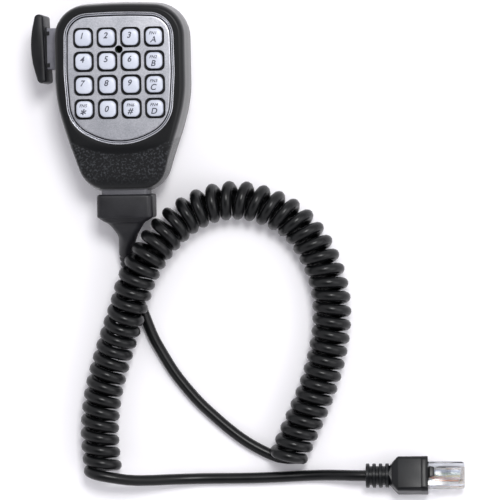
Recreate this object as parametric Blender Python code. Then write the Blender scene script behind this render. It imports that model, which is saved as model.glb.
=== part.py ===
"""Hand microphone with a 16-key pad, a side push-to-talk bar, a curly cord and a modular plug.

The microphone lies on its back. The origin is the centre of the flat end face of the hang-up button,
+X is to the right across the keypad, +Y points to the top of the case and +Z out of the keypad.
"""

import math

import bmesh
import bpy
from mathutils import Matrix, Vector

MM = 0.001

# Clearance left between pieces that touch, and the room that a cutter runs past the wall it cuts.
GAP = 0.3 * MM
CUT_PAST = 2.0 * MM

# Keypad: rows and columns of square keys, the hole rim that holds each key back, and the moat round its cap.
KEY_ROWS = (("1", "2", "3", "a"), ("4", "5", "6", "b"), ("7", "8", "9", "c"), ("star", "0", "hash", "d"))
KEY_PITCH = 10.6 * MM
KEY_CENTRE_Y = 6.0 * MM
KEY_WEB = 1.2 * MM
KEY_LAP = 0.4 * MM
KEY_MOAT = 0.65 * MM
KEY_CORNER = 2.4 * MM
KEY_PROUD = 1.4 * MM
KEY_CROWN = 0.6 * MM
KEY_SKIRT_THICK = 0.8 * MM
KEY_TRAVEL = 1.0 * MM
KEY_PILLAR_INSET = 0.15 * MM
KEY_SIZE = KEY_PITCH - KEY_WEB
KEY_HOLE = KEY_SIZE - 2 * KEY_LAP
KEY_CAP = KEY_HOLE - 2 * KEY_MOAT
KEY_ARRAY_HALF = len(KEY_ROWS) / 2 * KEY_PITCH

# Silver panel and the trim ring round it.
PANEL_SIDE_MARGIN = 3.55 * MM
PANEL_TOP_MARGIN = 5.9 * MM
PANEL_BOTTOM_MARGIN = 9.5 * MM
PANEL_THICK = 1.3 * MM
PANEL_SINK = 0.1 * MM
PANEL_CORNER = 10.5 * MM
PANEL_LOW_CORNER = 16.0 * MM
PANEL_LOW_NARROWING = 1.6 * MM
PANEL_LOW_RISE = 7.5 * MM
PANEL_LOW_DIP = 4.6 * MM
PANEL_BOTTOM_CURVE = 29.0 * MM
TRIM_WIDTH = 0.95 * MM
TRIM_GROOVE = 0.8 * MM
TRIM_PROUD = 0.35 * MM
MIC_HOLE_RADIUS = 1.7 * MM
PANEL_HALF_WIDTH = KEY_ARRAY_HALF + PANEL_SIDE_MARGIN
PANEL_TOP_Y = KEY_CENTRE_Y + KEY_ARRAY_HALF + PANEL_TOP_MARGIN
PANEL_BOTTOM_Y = KEY_CENTRE_Y - KEY_ARRAY_HALF - PANEL_BOTTOM_MARGIN
MIC_Y = KEY_CENTRE_Y + KEY_PITCH

# Case: two shells that meet at the split, drawn in towards the keypad and towards the back.
CASE_DEPTH = 28.0 * MM
CASE_WALL = 2.2 * MM
CASE_SIDE_ROOM = 3.55 * MM
CASE_TOP_ROOM = 2.9 * MM
CASE_CHIN = 20.6 * MM
CASE_CHIN_NARROWING = 10.4 * MM
CASE_WAIST_Y = -5.0 * MM
CASE_WAIST_CURVE = 60.0 * MM
CASE_CORNER = 15.5 * MM
CASE_LOW_CORNER = 20.0 * MM
ARCH_RISE = 1.0 * MM
ARCH_CURVE = 250.0 * MM
SPLIT_ABOVE_BACK = 13.0 * MM
CHIN_DROP = 6.0 * MM
LEDGE_THICK = 1.3 * MM
HANG_UP_HEIGHT = 5.0 * MM
CASE_HALF_WIDTH = PANEL_HALF_WIDTH + CASE_SIDE_ROOM + CASE_WALL
CASE_TOP_Y = PANEL_TOP_Y + CASE_TOP_ROOM + CASE_WALL
CASE_BOTTOM_Y = PANEL_BOTTOM_Y - CASE_CHIN - CASE_WALL
BACK_Z = HANG_UP_HEIGHT
SPLIT_Z = BACK_Z + SPLIT_ABOVE_BACK
FACE_Z = BACK_Z + CASE_DEPTH
RECESS_Z = FACE_Z - PANEL_THICK - PANEL_SINK - GAP
PANEL_Z = RECESS_Z + GAP
CEILING_Z = RECESS_Z - LEDGE_THICK

# Circuit board stack below the keypad.
MAT_THICK = 1.2 * MM
MAT_MARGIN = 0.8 * MM
BOARD_THICK = 1.6 * MM
BOARD_BELOW_KEYS = 9.0 * MM
BOARD_CORNER = 8.0 * MM
BOARD_BOSS_RADIUS = 2.2 * MM
SKIRT_TOP_Z = PANEL_Z - GAP
SKIRT_BOTTOM_Z = SKIRT_TOP_Z - KEY_SKIRT_THICK
MAT_TOP_Z = SKIRT_BOTTOM_Z - KEY_TRAVEL - GAP
BOARD_TOP_Z = MAT_TOP_Z - MAT_THICK - GAP
BOARD_Z = BOARD_TOP_Z - BOARD_THICK
PILLAR_Z = BOARD_TOP_Z + GAP + KEY_TRAVEL
BOARD_HALF_WIDTH = KEY_ARRAY_HALF + 1.5 * MM
BOARD_TOP_Y = KEY_CENTRE_Y + KEY_ARRAY_HALF + MAT_MARGIN
BOARD_BOTTOM_Y = KEY_CENTRE_Y - KEY_ARRAY_HALF - BOARD_BELOW_KEYS

# Screws: the case screws come in from the back, the board screws from inside.
CASE_SCREW_RADIUS = 1.0 * MM
CASE_SCREW_HEAD_RADIUS = 2.1 * MM
CASE_SCREW_HEAD_THICK = 1.6 * MM
CASE_SCREW_SINK = 1.2 * MM
CASE_SCREW_LENGTH = 15.0 * MM
CASE_BOSS_RADIUS = 2.9 * MM
CASE_BOSS_INSET = 6.1 * MM
CASE_BOSS_OFF_CORNER = 1.5 * MM
CASE_LOW_BOSS_X = 12.6 * MM
CASE_LOW_BOSS_ABOVE_BOTTOM = 11.6 * MM
BOARD_SCREW_RADIUS = 0.9 * MM
BOARD_SCREW_HEAD_RADIUS = 1.8 * MM
BOARD_SCREW_HEAD_THICK = 1.1 * MM
SCREW_HOLE_EXTRA = 0.3 * MM
HANG_UP_RADIUS = 6.6 * MM
HANG_UP_NECK_RADIUS = 4.2 * MM
HANG_UP_HEAD_THICK = 2.3 * MM
HANG_UP_SCREW_RADIUS = 1.4 * MM
HANG_UP_SCREW_LENGTH = 5.6 * MM

# Electronics hung under the board.
CAPSULE_RADIUS = 3.0 * MM
CAPSULE_HEIGHT = 5.2 * MM
CAPSULE_BOOT_WALL = 1.1 * MM
CHIP_SIZE = Vector((10.0, 7.0, 1.5)) * MM
CHIP_PLACE = Vector((8.0, -4.0)) * MM
SOCKET_SIZE = Vector((11.0, 6.0, 5.0)) * MM
INNER_PLUG_LENGTH = 5.0 * MM
INNER_LEAD_RADIUS = 1.7 * MM

# Push-to-talk bar: it slides towards the case on a stem, against a coil spring.
PTT_TRAVEL = 2.5 * MM
PTT_STANDOFF = 3.8 * MM
PTT_THICK = 7.2 * MM
PTT_LENGTH = 32.0 * MM
PTT_HEIGHT = 20.0 * MM
PTT_BOW = 3.6 * MM
PTT_LEAN = math.radians(1.8)
PTT_CENTRE_Y = 17.8 * MM
PTT_STEM_LENGTH = 18.6 * MM
PTT_STEM_HEIGHT = 11.2 * MM
PTT_FLANGE_LAP = 1.2 * MM
PTT_FLANGE_THICK = 1.3 * MM
PTT_FLANGE_SET_BACK = 2.7 * MM
PTT_NOSE_WIDTH = 2.2 * MM
SPRING_RADIUS = 2.1 * MM
SPRING_WIRE_RADIUS = 0.35 * MM
SPRING_TURNS = 5
SPRING_LENGTH = 6.0 * MM
SPRING_SEAT_THICK = 1.6 * MM
SPRING_Y = PTT_CENTRE_Y - 5.0 * MM
SPRING_BELOW_SPLIT = 3.2 * MM

# Snap-action switch under the board, with a hinged lever over its plunger.
SWITCH_SIZE = Vector((6.4, 12.8, 5.8)) * MM
LEVER_LENGTH = 12.3 * MM
LEVER_THICK = 0.4 * MM
LEVER_WIDTH = 3.6 * MM
LEVER_REST_ANGLE = math.radians(13.1)
LEVER_OFF_SWITCH = 0.6 * MM
PLUNGER_RADIUS = 0.8 * MM
PLUNGER_FROM_HINGE = 3.9 * MM
PLUNGER_LENGTH = 2.4 * MM

# Cord bush: a flange inside the case, a collar through its wall, a block and a tapering tail.
BUSH_FLANGE_HALF_WIDTH = 11.8 * MM
BUSH_COLLAR_HALF_WIDTH = 10.6 * MM
BUSH_COLLAR_HALF_HEIGHT = 7.9 * MM
BUSH_BLOCK_HALF_WIDTH = 12.7 * MM
BUSH_BLOCK_HALF_HEIGHT = 9.1 * MM
BUSH_BLOCK_LENGTH = 10.7 * MM
BUSH_BLOCK_OFF_CASE = 0.8 * MM
BUSH_FLANGE_THICK = 1.5 * MM
BUSH_DEPTH_IN_CASE = 7.6 * MM
BUSH_ABOVE_FLOOR = 8.9 * MM
BUSH_TAIL_RADIUS = 3.5 * MM
BUSH_EDGE = 1.8 * MM
BUSH_RING_DEPTH = 0.55 * MM
BUSH_RING_PITCH = 2.6 * MM
BUSH_CENTRE_Z = BACK_Z + CASE_WALL + BUSH_ABOVE_FLOOR

# Cord: a plain lead at each end and a tightly wound curly stretch between them.
CORD_DIAMETER = 5.0 * MM
COIL_DIAMETER = 17.5 * MM
LEAD_POINT_SPACING = 8.0 * MM
COIL_POINT_SPACING = 9.5 * MM

# Plug boot and modular plug, rolled about the cord's axis as they lie.
BOOT_REAR = Vector((106.2, -178.5, 7.5)) * MM
BOOT_ROLL = math.radians(-20.0)
BOOT_TAIL_LENGTH = 11.8 * MM
BOOT_TAIL_RADIUS = 5.5 * MM
BOOT_GROOVE_RADIUS = 4.45 * MM
BOOT_RIBS = 4
BOOT_BODY_LENGTH = 16.4 * MM
BOOT_WIDTH = 14.8 * MM
BOOT_WALL = 2.75 * MM
BOOT_CORNER = 2.6 * MM
BOOT_CHAMFER = 2.6 * MM
PLUG_WIDTH = 11.68 * MM
PLUG_LENGTH = 21.46 * MM
PLUG_THICK = 6.5 * MM
BOOT_THICK = PLUG_THICK + 2 * BOOT_WALL
PLUG_IN_BOOT = 4.9 * MM
PLUG_CORNER = 0.8 * MM
CONTACT_COUNT = 8
CONTACT_PITCH = 1.02 * MM
CONTACT_THICK = 0.32 * MM
CONTACT_LENGTH = 5.0 * MM
CONTACT_DEPTH = 1.5 * MM
CONTACT_SLOT = 0.64 * MM
LATCH_LENGTH = 13.2 * MM
LATCH_THICK = 0.9 * MM
LATCH_WIDTH = 6.2 * MM
LATCH_TIP_WIDTH = 3.4 * MM
LATCH_ROOT_FROM_NOSE = 1.2 * MM
LATCH_REST_ANGLE = math.radians(12.0)
GUARD_WIDTH = 5.2 * MM
GUARD_THICK = 0.9 * MM

# Routes chosen by hand, in millimetres: the tail of the bush, the lead from it, the curly stretch and
# the lead to the plug.
TAIL_ROUTE = ((0, -59, 16.1), (0, -63, 15.2), (-0.3, -67, 12.6), (-1.2, -71, 9.4), (-1.7, -75, 6.7),
              (-1.6, -79, 4.9), (-1.3, -83, 4.1))
LEAD_1_ROUTE = ((-1.1, -83.6, 4.0), (-0.1, -88, 3.2), (2.3, -96, 2.6), (5.6, -105, 2.55), (9.2, -114.4, 2.55),
                (13.7, -122.7, 2.55), (18.6, -130.8, 2.55), (24.3, -138.3, 2.55), (30.5, -145.4, 2.55),
                (37.4, -151.9, 2.55), (44.4, -158.0, 2.55), (52.0, -163.6, 2.55), (59.9, -168.0, 2.55),
                (65.6, -170.4, 2.6), (72.4, -172.6, 2.9))
COIL_ROUTE = ((71.3, -168.6, 8.9), (76.5, -157.1, 8.9), (81.7, -145.5, 8.9), (86.3, -133.7, 8.9),
              (89.7, -121.5, 8.9), (91.7, -109.0, 8.9), (91.6, -96.4, 8.9), (88.9, -84.0, 8.9),
              (83.6, -72.6, 8.9), (75.7, -62.7, 8.9), (64.8, -56.5, 8.9), (52.6, -53.4, 9.0),
              (40.1, -54.5, 9.3), (28.5, -59.5, 10.4), (18.8, -67.6, 13.4), (10.9, -77.3, 15.6),
              (4.4, -87.9, 15.2), (-0.5, -99.7, 13.6), (-4.7, -110.9, 10.9), (-8.9, -122.9, 9.2),
              (-12.5, -135.0, 8.9), (-14.8, -147.5, 8.9), (-15.5, -160.1, 8.9), (-14.6, -172.7, 8.9))
LEAD_2_ROUTE = ((-17.2, -175.5, 15.0), (-14.4, -175.8, 15.2), (-8.0, -177.0, 14.5), (-1.0, -178.8, 12.4),
                (7.0, -179.9, 9.4), (15.0, -180.1, 6.4), (23.0, -180.1, 4.1), (31.0, -180.1, 2.8),
                (42.0, -180.1, 2.55), (54.0, -180.0, 2.55), (67.0, -179.6, 2.55), (79.0, -179.0, 2.7),
                (87.0, -178.7, 3.6), (94.0, -178.55, 5.3), (100.0, -178.5, 7.1), (105.7, -178.5, 7.5))


def clear_scene():
    for obj in list(bpy.data.objects):
        bpy.data.objects.remove(obj)


def material(name, color, roughness, metallic=0.0, transmission=0.0):
    """A Principled BSDF with the piece's own colour, given as linear red, green and blue."""
    made = bpy.data.materials.new(name)
    made.use_nodes = True
    shader = made.node_tree.nodes["Principled BSDF"]
    shader.inputs["Base Color"].default_value = (*color, 1.0)
    shader.inputs["Roughness"].default_value = roughness
    shader.inputs["Metallic"].default_value = metallic
    shader.inputs["Transmission Weight"].default_value = transmission
    return made


def rounded_outline(corners, inset=0.0, steps=4):
    """Closed anticlockwise outline through (x, y, radius) corners, each an arc, moved inwards by inset."""
    points = []
    for index, (x, y, radius) in enumerate(corners):
        before = Vector(corners[index - 1][:2])
        after = Vector(corners[(index + 1) % len(corners)][:2])
        arriving = (Vector((x, y)) - before).normalized()
        leaving = (after - Vector((x, y))).normalized()
        inward_a = Vector((-arriving.y, arriving.x))
        inward_b = Vector((-leaving.y, leaving.x))
        corner = Vector((x, y)) + (inward_a + inward_b) * (inset / (1 + inward_a.dot(inward_b)))
        turn = math.acos(max(-1.0, min(1.0, arriving.dot(leaving))))
        bend = max(radius - inset, GAP)
        centre = corner - arriving * (bend * math.tan(turn / 2)) + inward_a * bend
        start = math.atan2(-inward_a.y, -inward_a.x)
        for step in range(steps + 1):
            angle = start + turn * step / steps
            points.append((centre.x + bend * math.cos(angle), centre.y + bend * math.sin(angle)))
    return points


def rectangle(half_x, half_y, radius, centre=(0.0, 0.0), steps=3):
    """Outline of a rectangle with round corners."""
    cx, cy = centre
    radius = min(radius, 0.96 * half_x, 0.96 * half_y)
    corners = ((cx + half_x, cy - half_y), (cx + half_x, cy + half_y),
               (cx - half_x, cy + half_y), (cx - half_x, cy - half_y))
    return rounded_outline([(x, y, radius) for x, y in corners], steps=steps)


def circle(radius, centre=(0.0, 0.0), steps=12):
    """Outline of a circle."""
    angles = [2 * math.pi * step / steps for step in range(steps)]
    return [(centre[0] + radius * math.cos(a), centre[1] + radius * math.sin(a)) for a in angles]


def at_height(outline, z):
    return [(x, y, z) for x, y in outline]


def between(first, second, share):
    """Outline that lies the given share of the way from the first outline to the second."""
    return [(a[0] + (b[0] - a[0]) * share, a[1] + (b[1] - a[1]) * share) for a, b in zip(first, second)]


def loft(name, loops, finish, origin=(0.0, 0.0, 0.0)):
    """Closed body through loops that hold the same number of points, with flat ends, set on its origin."""
    mesh = bpy.data.meshes.new(name)
    bm = bmesh.new()
    rings = [[bm.verts.new(Vector(p) - Vector(origin)) for p in loop] for loop in loops]
    for low, high in zip(rings, rings[1:]):
        for i in range(len(low)):
            j = (i + 1) % len(low)
            bm.faces.new((low[i], low[j], high[j], high[i]))
    bm.faces.new(rings[0][::-1])
    bm.faces.new(rings[-1])
    if bm.calc_volume(signed=True) < 0:
        bmesh.ops.reverse_faces(bm, faces=bm.faces)
    bm.to_mesh(mesh)
    bm.free()
    mesh.shade_smooth()
    mesh.set_sharp_from_angle(angle=math.radians(32))
    obj = bpy.data.objects.new(name, mesh)
    obj.location = origin
    if finish:
        mesh.materials.append(finish)
    bpy.context.scene.collection.objects.link(obj)
    return obj


def prism(name, outline, low, high, finish=None, origin=(0.0, 0.0, 0.0)):
    return loft(name, [at_height(outline, low), at_height(outline, high)], finish, origin)


def block(name, low, high, finish=None, origin=(0.0, 0.0, 0.0)):
    """Box from its lowest corner to its highest."""
    outline = [(low[0], low[1]), (high[0], low[1]), (high[0], high[1]), (low[0], high[1])]
    return prism(name, outline, low[2], high[2], finish, origin)


def helper(obj):
    """Keeps a cutter or a piece to be joined out of the model itself."""
    obj.hide_render = True
    obj.display_type = "WIRE"
    return obj


def combine(obj, other, operation):
    modifier = obj.modifiers.new(other.name, "BOOLEAN")
    modifier.operation = operation
    modifier.object = helper(other)
    modifier.solver = "EXACT"


def cut(obj, other):
    combine(obj, other, "DIFFERENCE")


def join(obj, other):
    combine(obj, other, "UNION")


def screw(name, place, head_z, head_radius, head_thick, radius, length, up, finish):
    """Screw with a flat head: its shank runs up or down from the head's inner face at head_z."""
    way = 1 if up else -1
    heights = (head_z - way * head_thick, head_z, head_z, head_z + way * length)
    radii = (head_radius, head_radius, radius, radius)
    loops = [at_height(circle(r, place), z) for r, z in zip(radii, heights)]
    return loft(name, loops, finish, (place[0], place[1], head_z))


# ---------------------------------------------------------------- outlines


def mirrored(right_side, top, bottom):
    """Corners of a left-right symmetric outline, anticlockwise from its lower right corner."""
    left_side = [(-x, y, r) for x, y, r in reversed(right_side)]
    return [*right_side, top, *left_side, bottom]


def case_outline(inset=0.0):
    """The case as seen from the keypad: wide round shoulders and a narrower chin."""
    right = [
        (CASE_HALF_WIDTH - CASE_CHIN_NARROWING, CASE_BOTTOM_Y, CASE_LOW_CORNER),
        (CASE_HALF_WIDTH, CASE_WAIST_Y, CASE_WAIST_CURVE),
        (CASE_HALF_WIDTH - ARCH_RISE / 10, CASE_TOP_Y - ARCH_RISE, CASE_CORNER),
    ]
    top = (0.0, CASE_TOP_Y + ARCH_RISE / 3, ARCH_CURVE)
    bottom = (0.0, CASE_BOTTOM_Y - ARCH_RISE / 5, ARCH_CURVE)
    return rounded_outline(mirrored(right, top, bottom), inset)


def panel_outline(inset=0.0):
    """The keypad panel: an arched top, sides that close in slightly and one broad bottom curve."""
    right = [
        (PANEL_HALF_WIDTH - PANEL_LOW_NARROWING, PANEL_BOTTOM_Y + PANEL_LOW_RISE, PANEL_LOW_CORNER),
        (PANEL_HALF_WIDTH, KEY_CENTRE_Y, CASE_WAIST_CURVE),
        (PANEL_HALF_WIDTH - ARCH_RISE / 2, PANEL_TOP_Y - ARCH_RISE, PANEL_CORNER),
    ]
    top = (0.0, PANEL_TOP_Y + ARCH_RISE / 5, ARCH_CURVE)
    bottom = (0.0, PANEL_BOTTOM_Y - PANEL_LOW_DIP, PANEL_BOTTOM_CURVE)
    return rounded_outline(mirrored(right, top, bottom), inset)


def keypad_outline(margin, radius):
    """Rectangle round the whole array of keys."""
    half = KEY_ARRAY_HALF - KEY_WEB / 2 + margin
    return rectangle(half, half, radius, (0.0, KEY_CENTRE_Y))


def board_outline():
    middle_y = (BOARD_TOP_Y + BOARD_BOTTOM_Y) / 2
    return rectangle(BOARD_HALF_WIDTH, (BOARD_TOP_Y - BOARD_BOTTOM_Y) / 2, BOARD_CORNER, (0.0, middle_y))


def chin(outline, z):
    """Loop at height z whose part below the panel sinks smoothly towards the split as it nears the bottom."""
    start = PANEL_BOTTOM_Y - TRIM_WIDTH
    run = start - CASE_BOTTOM_Y
    loop = []
    for x, y in outline:
        share = max(0.0, min(1.0, (start - y) / run))
        drop = CHIN_DROP / (FACE_Z - SPLIT_Z) * share * share * (3 - 2 * share)
        loop.append((x, y, SPLIT_Z + (z - SPLIT_Z) * (1 - drop)))
    return loop


# ---------------------------------------------------------------- places shared by several pieces


def key_places():
    """(name, x, y) of every key, row by row from the top left."""
    for row, names in enumerate(KEY_ROWS):
        for column, name in enumerate(names):
            x = (column - (len(names) - 1) / 2) * KEY_PITCH
            y = KEY_CENTRE_Y + ((len(KEY_ROWS) - 1) / 2 - row) * KEY_PITCH
            yield name, x, y


def case_screw_places():
    """Two screws in the shoulders and two in the chin."""
    shoulder_x = CASE_HALF_WIDTH - CASE_CORNER + CASE_BOSS_OFF_CORNER
    shoulder_y = CASE_TOP_Y - ARCH_RISE - CASE_BOSS_INSET
    chin_y = CASE_BOTTOM_Y + CASE_LOW_BOSS_ABOVE_BOTTOM
    chin_x = CASE_LOW_BOSS_X
    return [(shoulder_x, shoulder_y), (-shoulder_x, shoulder_y), (chin_x, chin_y), (-chin_x, chin_y)]


def board_screw_places():
    """Two screws beside the keys and two below them."""
    side_x = KEY_ARRAY_HALF + BOARD_BOSS_RADIUS + MAT_MARGIN + GAP
    low_x = KEY_PITCH + 1.4 * MM
    low_y = KEY_CENTRE_Y - KEY_ARRAY_HALF - 5.3 * MM
    side_y = KEY_CENTRE_Y + KEY_PITCH
    return [(side_x, side_y), (-side_x, side_y), (low_x, low_y), (-low_x, low_y)]


def ptt_wall_x():
    """Inner face of the case wall that the push-to-talk stem passes through."""
    return -CASE_HALF_WIDTH + CASE_WALL + GAP


def flange_x():
    """Outer face of the stem's flange, set back so that it clears the curve of the case's shoulder."""
    return ptt_wall_x() + PTT_FLANGE_SET_BACK


def switch_box():
    """(low corner, high corner) of the switch body, set back from the stem by the lever's swing."""
    high_z = BOARD_Z - GAP
    nose = flange_x() + PTT_FLANGE_THICK + 3.6 * MM
    hinge_x = nose + GAP + LEVER_THICK / 2 + LEVER_LENGTH * math.sin(LEVER_REST_ANGLE)
    low_x = hinge_x + LEVER_OFF_SWITCH
    low_y = PTT_CENTRE_Y - 9.6 * MM
    low = Vector((low_x, low_y, high_z - SWITCH_SIZE.z))
    return low, low + SWITCH_SIZE


def lever_hinge():
    """Point of the lever's hinge at the lever's mid width."""
    low, high = switch_box()
    return Vector((low.x - LEVER_OFF_SWITCH, low.y + 0.6 * MM, (low.z + high.z) / 2))


def on_lever(distance, offset):
    """Point at a distance along the lever from its hinge, offset towards the switch."""
    hinge = lever_hinge()
    along = Vector((-math.sin(LEVER_REST_ANGLE), math.cos(LEVER_REST_ANGLE)))
    across = Vector((along.y, -along.x))
    return Vector(hinge[:2]) + along * distance + across * offset


# ---------------------------------------------------------------- case


def make_front_case(finish):
    """Front shell: drafted wall, rolled edge, sunk bed for the panel, and an open cavity behind."""
    bed = panel_outline(-GAP)
    edge = case_outline(3.4 * MM)
    ceiling = case_outline(CASE_WALL + 2.4 * MM)
    inner = panel_outline(TRIM_WIDTH)
    loops = [
        chin(inner, CEILING_Z),
        chin(between(inner, ceiling, 0.5), CEILING_Z),
        chin(ceiling, CEILING_Z),
        chin(case_outline(CASE_WALL + 1.3 * MM), CEILING_Z - 1.6 * MM),
        chin(case_outline(CASE_WALL), SPLIT_Z + GAP / 2),
        chin(case_outline(), SPLIT_Z + GAP / 2),
        chin(case_outline(0.9 * MM), FACE_Z - 5.5 * MM),
        chin(case_outline(1.3 * MM), FACE_Z - 2.6 * MM),
        chin(case_outline(2.1 * MM), FACE_Z - 0.9 * MM),
        chin(edge, FACE_Z),
        chin(between(edge, bed, 0.35), FACE_Z),
        chin(between(edge, bed, 0.7), FACE_Z),
        at_height(bed, FACE_Z),
        at_height(bed, RECESS_Z),
    ]
    case = loft("front_case", loops, finish)
    for index, place in enumerate(case_screw_places()):
        low = index > 1
        top = CEILING_Z + LEDGE_THICK / 2 - (0.45 * CHIN_DROP if low else 0.0)
        join(case, prism(f"front_boss_{index}", circle(CASE_BOSS_RADIUS, place), SPLIT_Z + GAP, top))
        hole = circle(CASE_SCREW_RADIUS + SCREW_HOLE_EXTRA, place, 8)
        cut(case, prism(f"front_boss_hole_{index}", hole, SPLIT_Z - CUT_PAST, case_screw_top() + GAP))
    for index, place in enumerate(board_screw_places()):
        post = circle(BOARD_BOSS_RADIUS, place)
        join(case, prism(f"board_post_{index}", post, BOARD_TOP_Z + GAP, CEILING_Z + LEDGE_THICK / 2))
        hole = circle(BOARD_SCREW_RADIUS + SCREW_HOLE_EXTRA, place, 8)
        cut(case, prism(f"board_post_hole_{index}", hole, BOARD_TOP_Z - CUT_PAST, CEILING_Z - GAP))
    opening = keypad_outline(GAP, KEY_CORNER + GAP)
    cut(case, prism("keypad_opening", opening, CEILING_Z - CUT_PAST, RECESS_Z + CUT_PAST / 4))
    cut_for_bush_and_stem(case, "front")


def make_rear_case(finish):
    """Rear shell: flat back with a rolled edge, screw columns and the seat of the push-to-talk spring."""
    loops = [
        at_height(case_outline(CASE_WALL + 3.0 * MM), BACK_Z + CASE_WALL),
        at_height(case_outline(CASE_WALL + 1.2 * MM), BACK_Z + CASE_WALL + 1.2 * MM),
        at_height(case_outline(CASE_WALL), SPLIT_Z - GAP / 2),
        at_height(case_outline(), SPLIT_Z - GAP / 2),
        at_height(case_outline(0.8 * MM), BACK_Z + 4.5 * MM),
        at_height(case_outline(1.8 * MM), BACK_Z + 1.4 * MM),
        at_height(case_outline(4.0 * MM), BACK_Z),
    ]
    case = loft("rear_case", loops, finish)
    for index, place in enumerate(case_screw_places()):
        column = circle(CASE_BOSS_RADIUS + 0.4 * MM, place)
        join(case, prism(f"rear_column_{index}", column, BACK_Z + CASE_WALL / 2, SPLIT_Z - GAP / 2))
        bore = CASE_SCREW_RADIUS + SCREW_HOLE_EXTRA
        seat = CASE_SCREW_HEAD_RADIUS + SCREW_HOLE_EXTRA
        sink = case_screw_head_z() + GAP
        levels = ((seat, BACK_Z - CUT_PAST), (seat, sink), (bore, sink), (bore, SPLIT_Z + CUT_PAST))
        cut(case, loft(f"rear_bore_{index}", [at_height(circle(r, place), z) for r, z in levels], None))
    seat_low = Vector((spring_end_x() + GAP, SPRING_Y - 3.6 * MM, BACK_Z + CASE_WALL / 2))
    seat_high = Vector((seat_low.x + SPRING_SEAT_THICK, SPRING_Y + 3.6 * MM, SPLIT_Z - GAP))
    join(case, block("spring_seat", seat_low, seat_high))
    hole = circle(HANG_UP_SCREW_RADIUS + SCREW_HOLE_EXTRA)
    cut(case, prism("hang_up_hole", hole, BACK_Z - CUT_PAST, BACK_Z + CASE_WALL + CUT_PAST))
    cut_for_bush_and_stem(case, "rear")


def cut_for_bush_and_stem(case, half):
    """Openings that the two shells share: the bush's collar below and the push-to-talk stem at the side."""
    half_width, half_height = BUSH_COLLAR_HALF_WIDTH + GAP, BUSH_COLLAR_HALF_HEIGHT + GAP
    collar = rectangle(half_width, half_height, BUSH_EDGE + GAP, (0.0, BUSH_CENTRE_Z))
    loops = [[(x, y, z) for x, z in collar] for y in (CASE_BOTTOM_Y - CUT_PAST, bush_flange_y() - GAP)]
    cut(case, loft(f"{half}_collar_hole", loops, None))
    half_length = PTT_STEM_LENGTH / 2 + GAP
    half_height = PTT_STEM_HEIGHT / 2 + GAP
    low = Vector((-CASE_HALF_WIDTH - CUT_PAST, PTT_CENTRE_Y - half_length, SPLIT_Z - half_height))
    high = Vector((ptt_wall_x() + CUT_PAST, PTT_CENTRE_Y + half_length, SPLIT_Z + half_height))
    cut(case, block(f"{half}_stem_hole", low, high))


def case_screw_head_z():
    """Height of the inner face of each case screw's head."""
    return BACK_Z + CASE_SCREW_SINK + CASE_SCREW_HEAD_THICK


def case_screw_top():
    return case_screw_head_z() + CASE_SCREW_LENGTH


def make_screws(finish):
    for index, place in enumerate(case_screw_places(), 1):
        screw(f"case_screw_{index}", place, case_screw_head_z(), CASE_SCREW_HEAD_RADIUS, CASE_SCREW_HEAD_THICK,
              CASE_SCREW_RADIUS, CASE_SCREW_LENGTH, True, finish)
    length = CEILING_Z - 2 * GAP - (BOARD_Z - GAP)
    for index, place in enumerate(board_screw_places(), 1):
        screw(f"board_screw_{index}", place, BOARD_Z - GAP, BOARD_SCREW_HEAD_RADIUS, BOARD_SCREW_HEAD_THICK,
              BOARD_SCREW_RADIUS, length, True, finish)
    floor = BACK_Z + CASE_WALL + GAP
    screw("hang_up_screw", (0.0, 0.0), floor, HANG_UP_SCREW_RADIUS * 2, CASE_SCREW_HEAD_THICK,
          HANG_UP_SCREW_RADIUS, HANG_UP_SCREW_LENGTH, False, finish)


def make_hang_up_button(finish):
    """Mushroom button on the back: a flat head, a neck that drops into a hanger, and a blind screw hole."""
    neck_top = BACK_Z - GAP
    edge = 0.5 * MM
    profile = ((HANG_UP_RADIUS - edge, 0.0), (HANG_UP_RADIUS, edge), (HANG_UP_RADIUS, HANG_UP_HEAD_THICK - edge),
               (HANG_UP_RADIUS - edge, HANG_UP_HEAD_THICK), (HANG_UP_NECK_RADIUS, HANG_UP_HEAD_THICK),
               (HANG_UP_NECK_RADIUS, neck_top))
    button = loft("hang_up_button", [at_height(circle(r, steps=28), z) for r, z in profile], finish)
    tip = BACK_Z + CASE_WALL + GAP - HANG_UP_SCREW_LENGTH
    hole = circle(HANG_UP_SCREW_RADIUS + SCREW_HOLE_EXTRA)
    cut(button, prism("hang_up_bore", hole, tip - GAP, BACK_Z + CUT_PAST))


# ---------------------------------------------------------------- keypad


def make_panel(panel_finish, trim_finish):
    """Flat plate with a hole for every key and one for the sound, inside a raised trim ring."""
    outline = panel_outline(TRIM_WIDTH + TRIM_GROOVE)
    bottom = panel_outline(TRIM_WIDTH + GAP)
    top = PANEL_Z + PANEL_THICK
    step = PANEL_Z + PANEL_THICK / 2
    levels = ((bottom, PANEL_Z), (bottom, step), (outline, step), (outline, top))
    loops = [at_height(shape, z) for shape, z in levels]
    panel = loft("keypad_panel", loops, panel_finish)
    for name, x, y in key_places():
        hole = rectangle(KEY_HOLE / 2, KEY_HOLE / 2, KEY_CORNER, (x, y), steps=2)
        cut(panel, prism(f"panel_hole_{name}", hole, PANEL_Z - CUT_PAST, top + CUT_PAST))
    sound = circle(MIC_HOLE_RADIUS, (0.0, MIC_Y))
    cut(panel, prism("panel_mic_hole", sound, PANEL_Z - CUT_PAST, top + CUT_PAST))

    trim_top = FACE_Z + TRIM_PROUD
    bevel = TRIM_PROUD / 2
    loops = [
        at_height(panel_outline(), PANEL_Z),
        at_height(panel_outline(), trim_top - bevel),
        at_height(panel_outline(bevel), trim_top),
    ]
    trim = loft("panel_trim", loops, trim_finish)
    cut(trim, prism("trim_hole", panel_outline(TRIM_WIDTH), PANEL_Z - CUT_PAST, trim_top + CUT_PAST))


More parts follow.
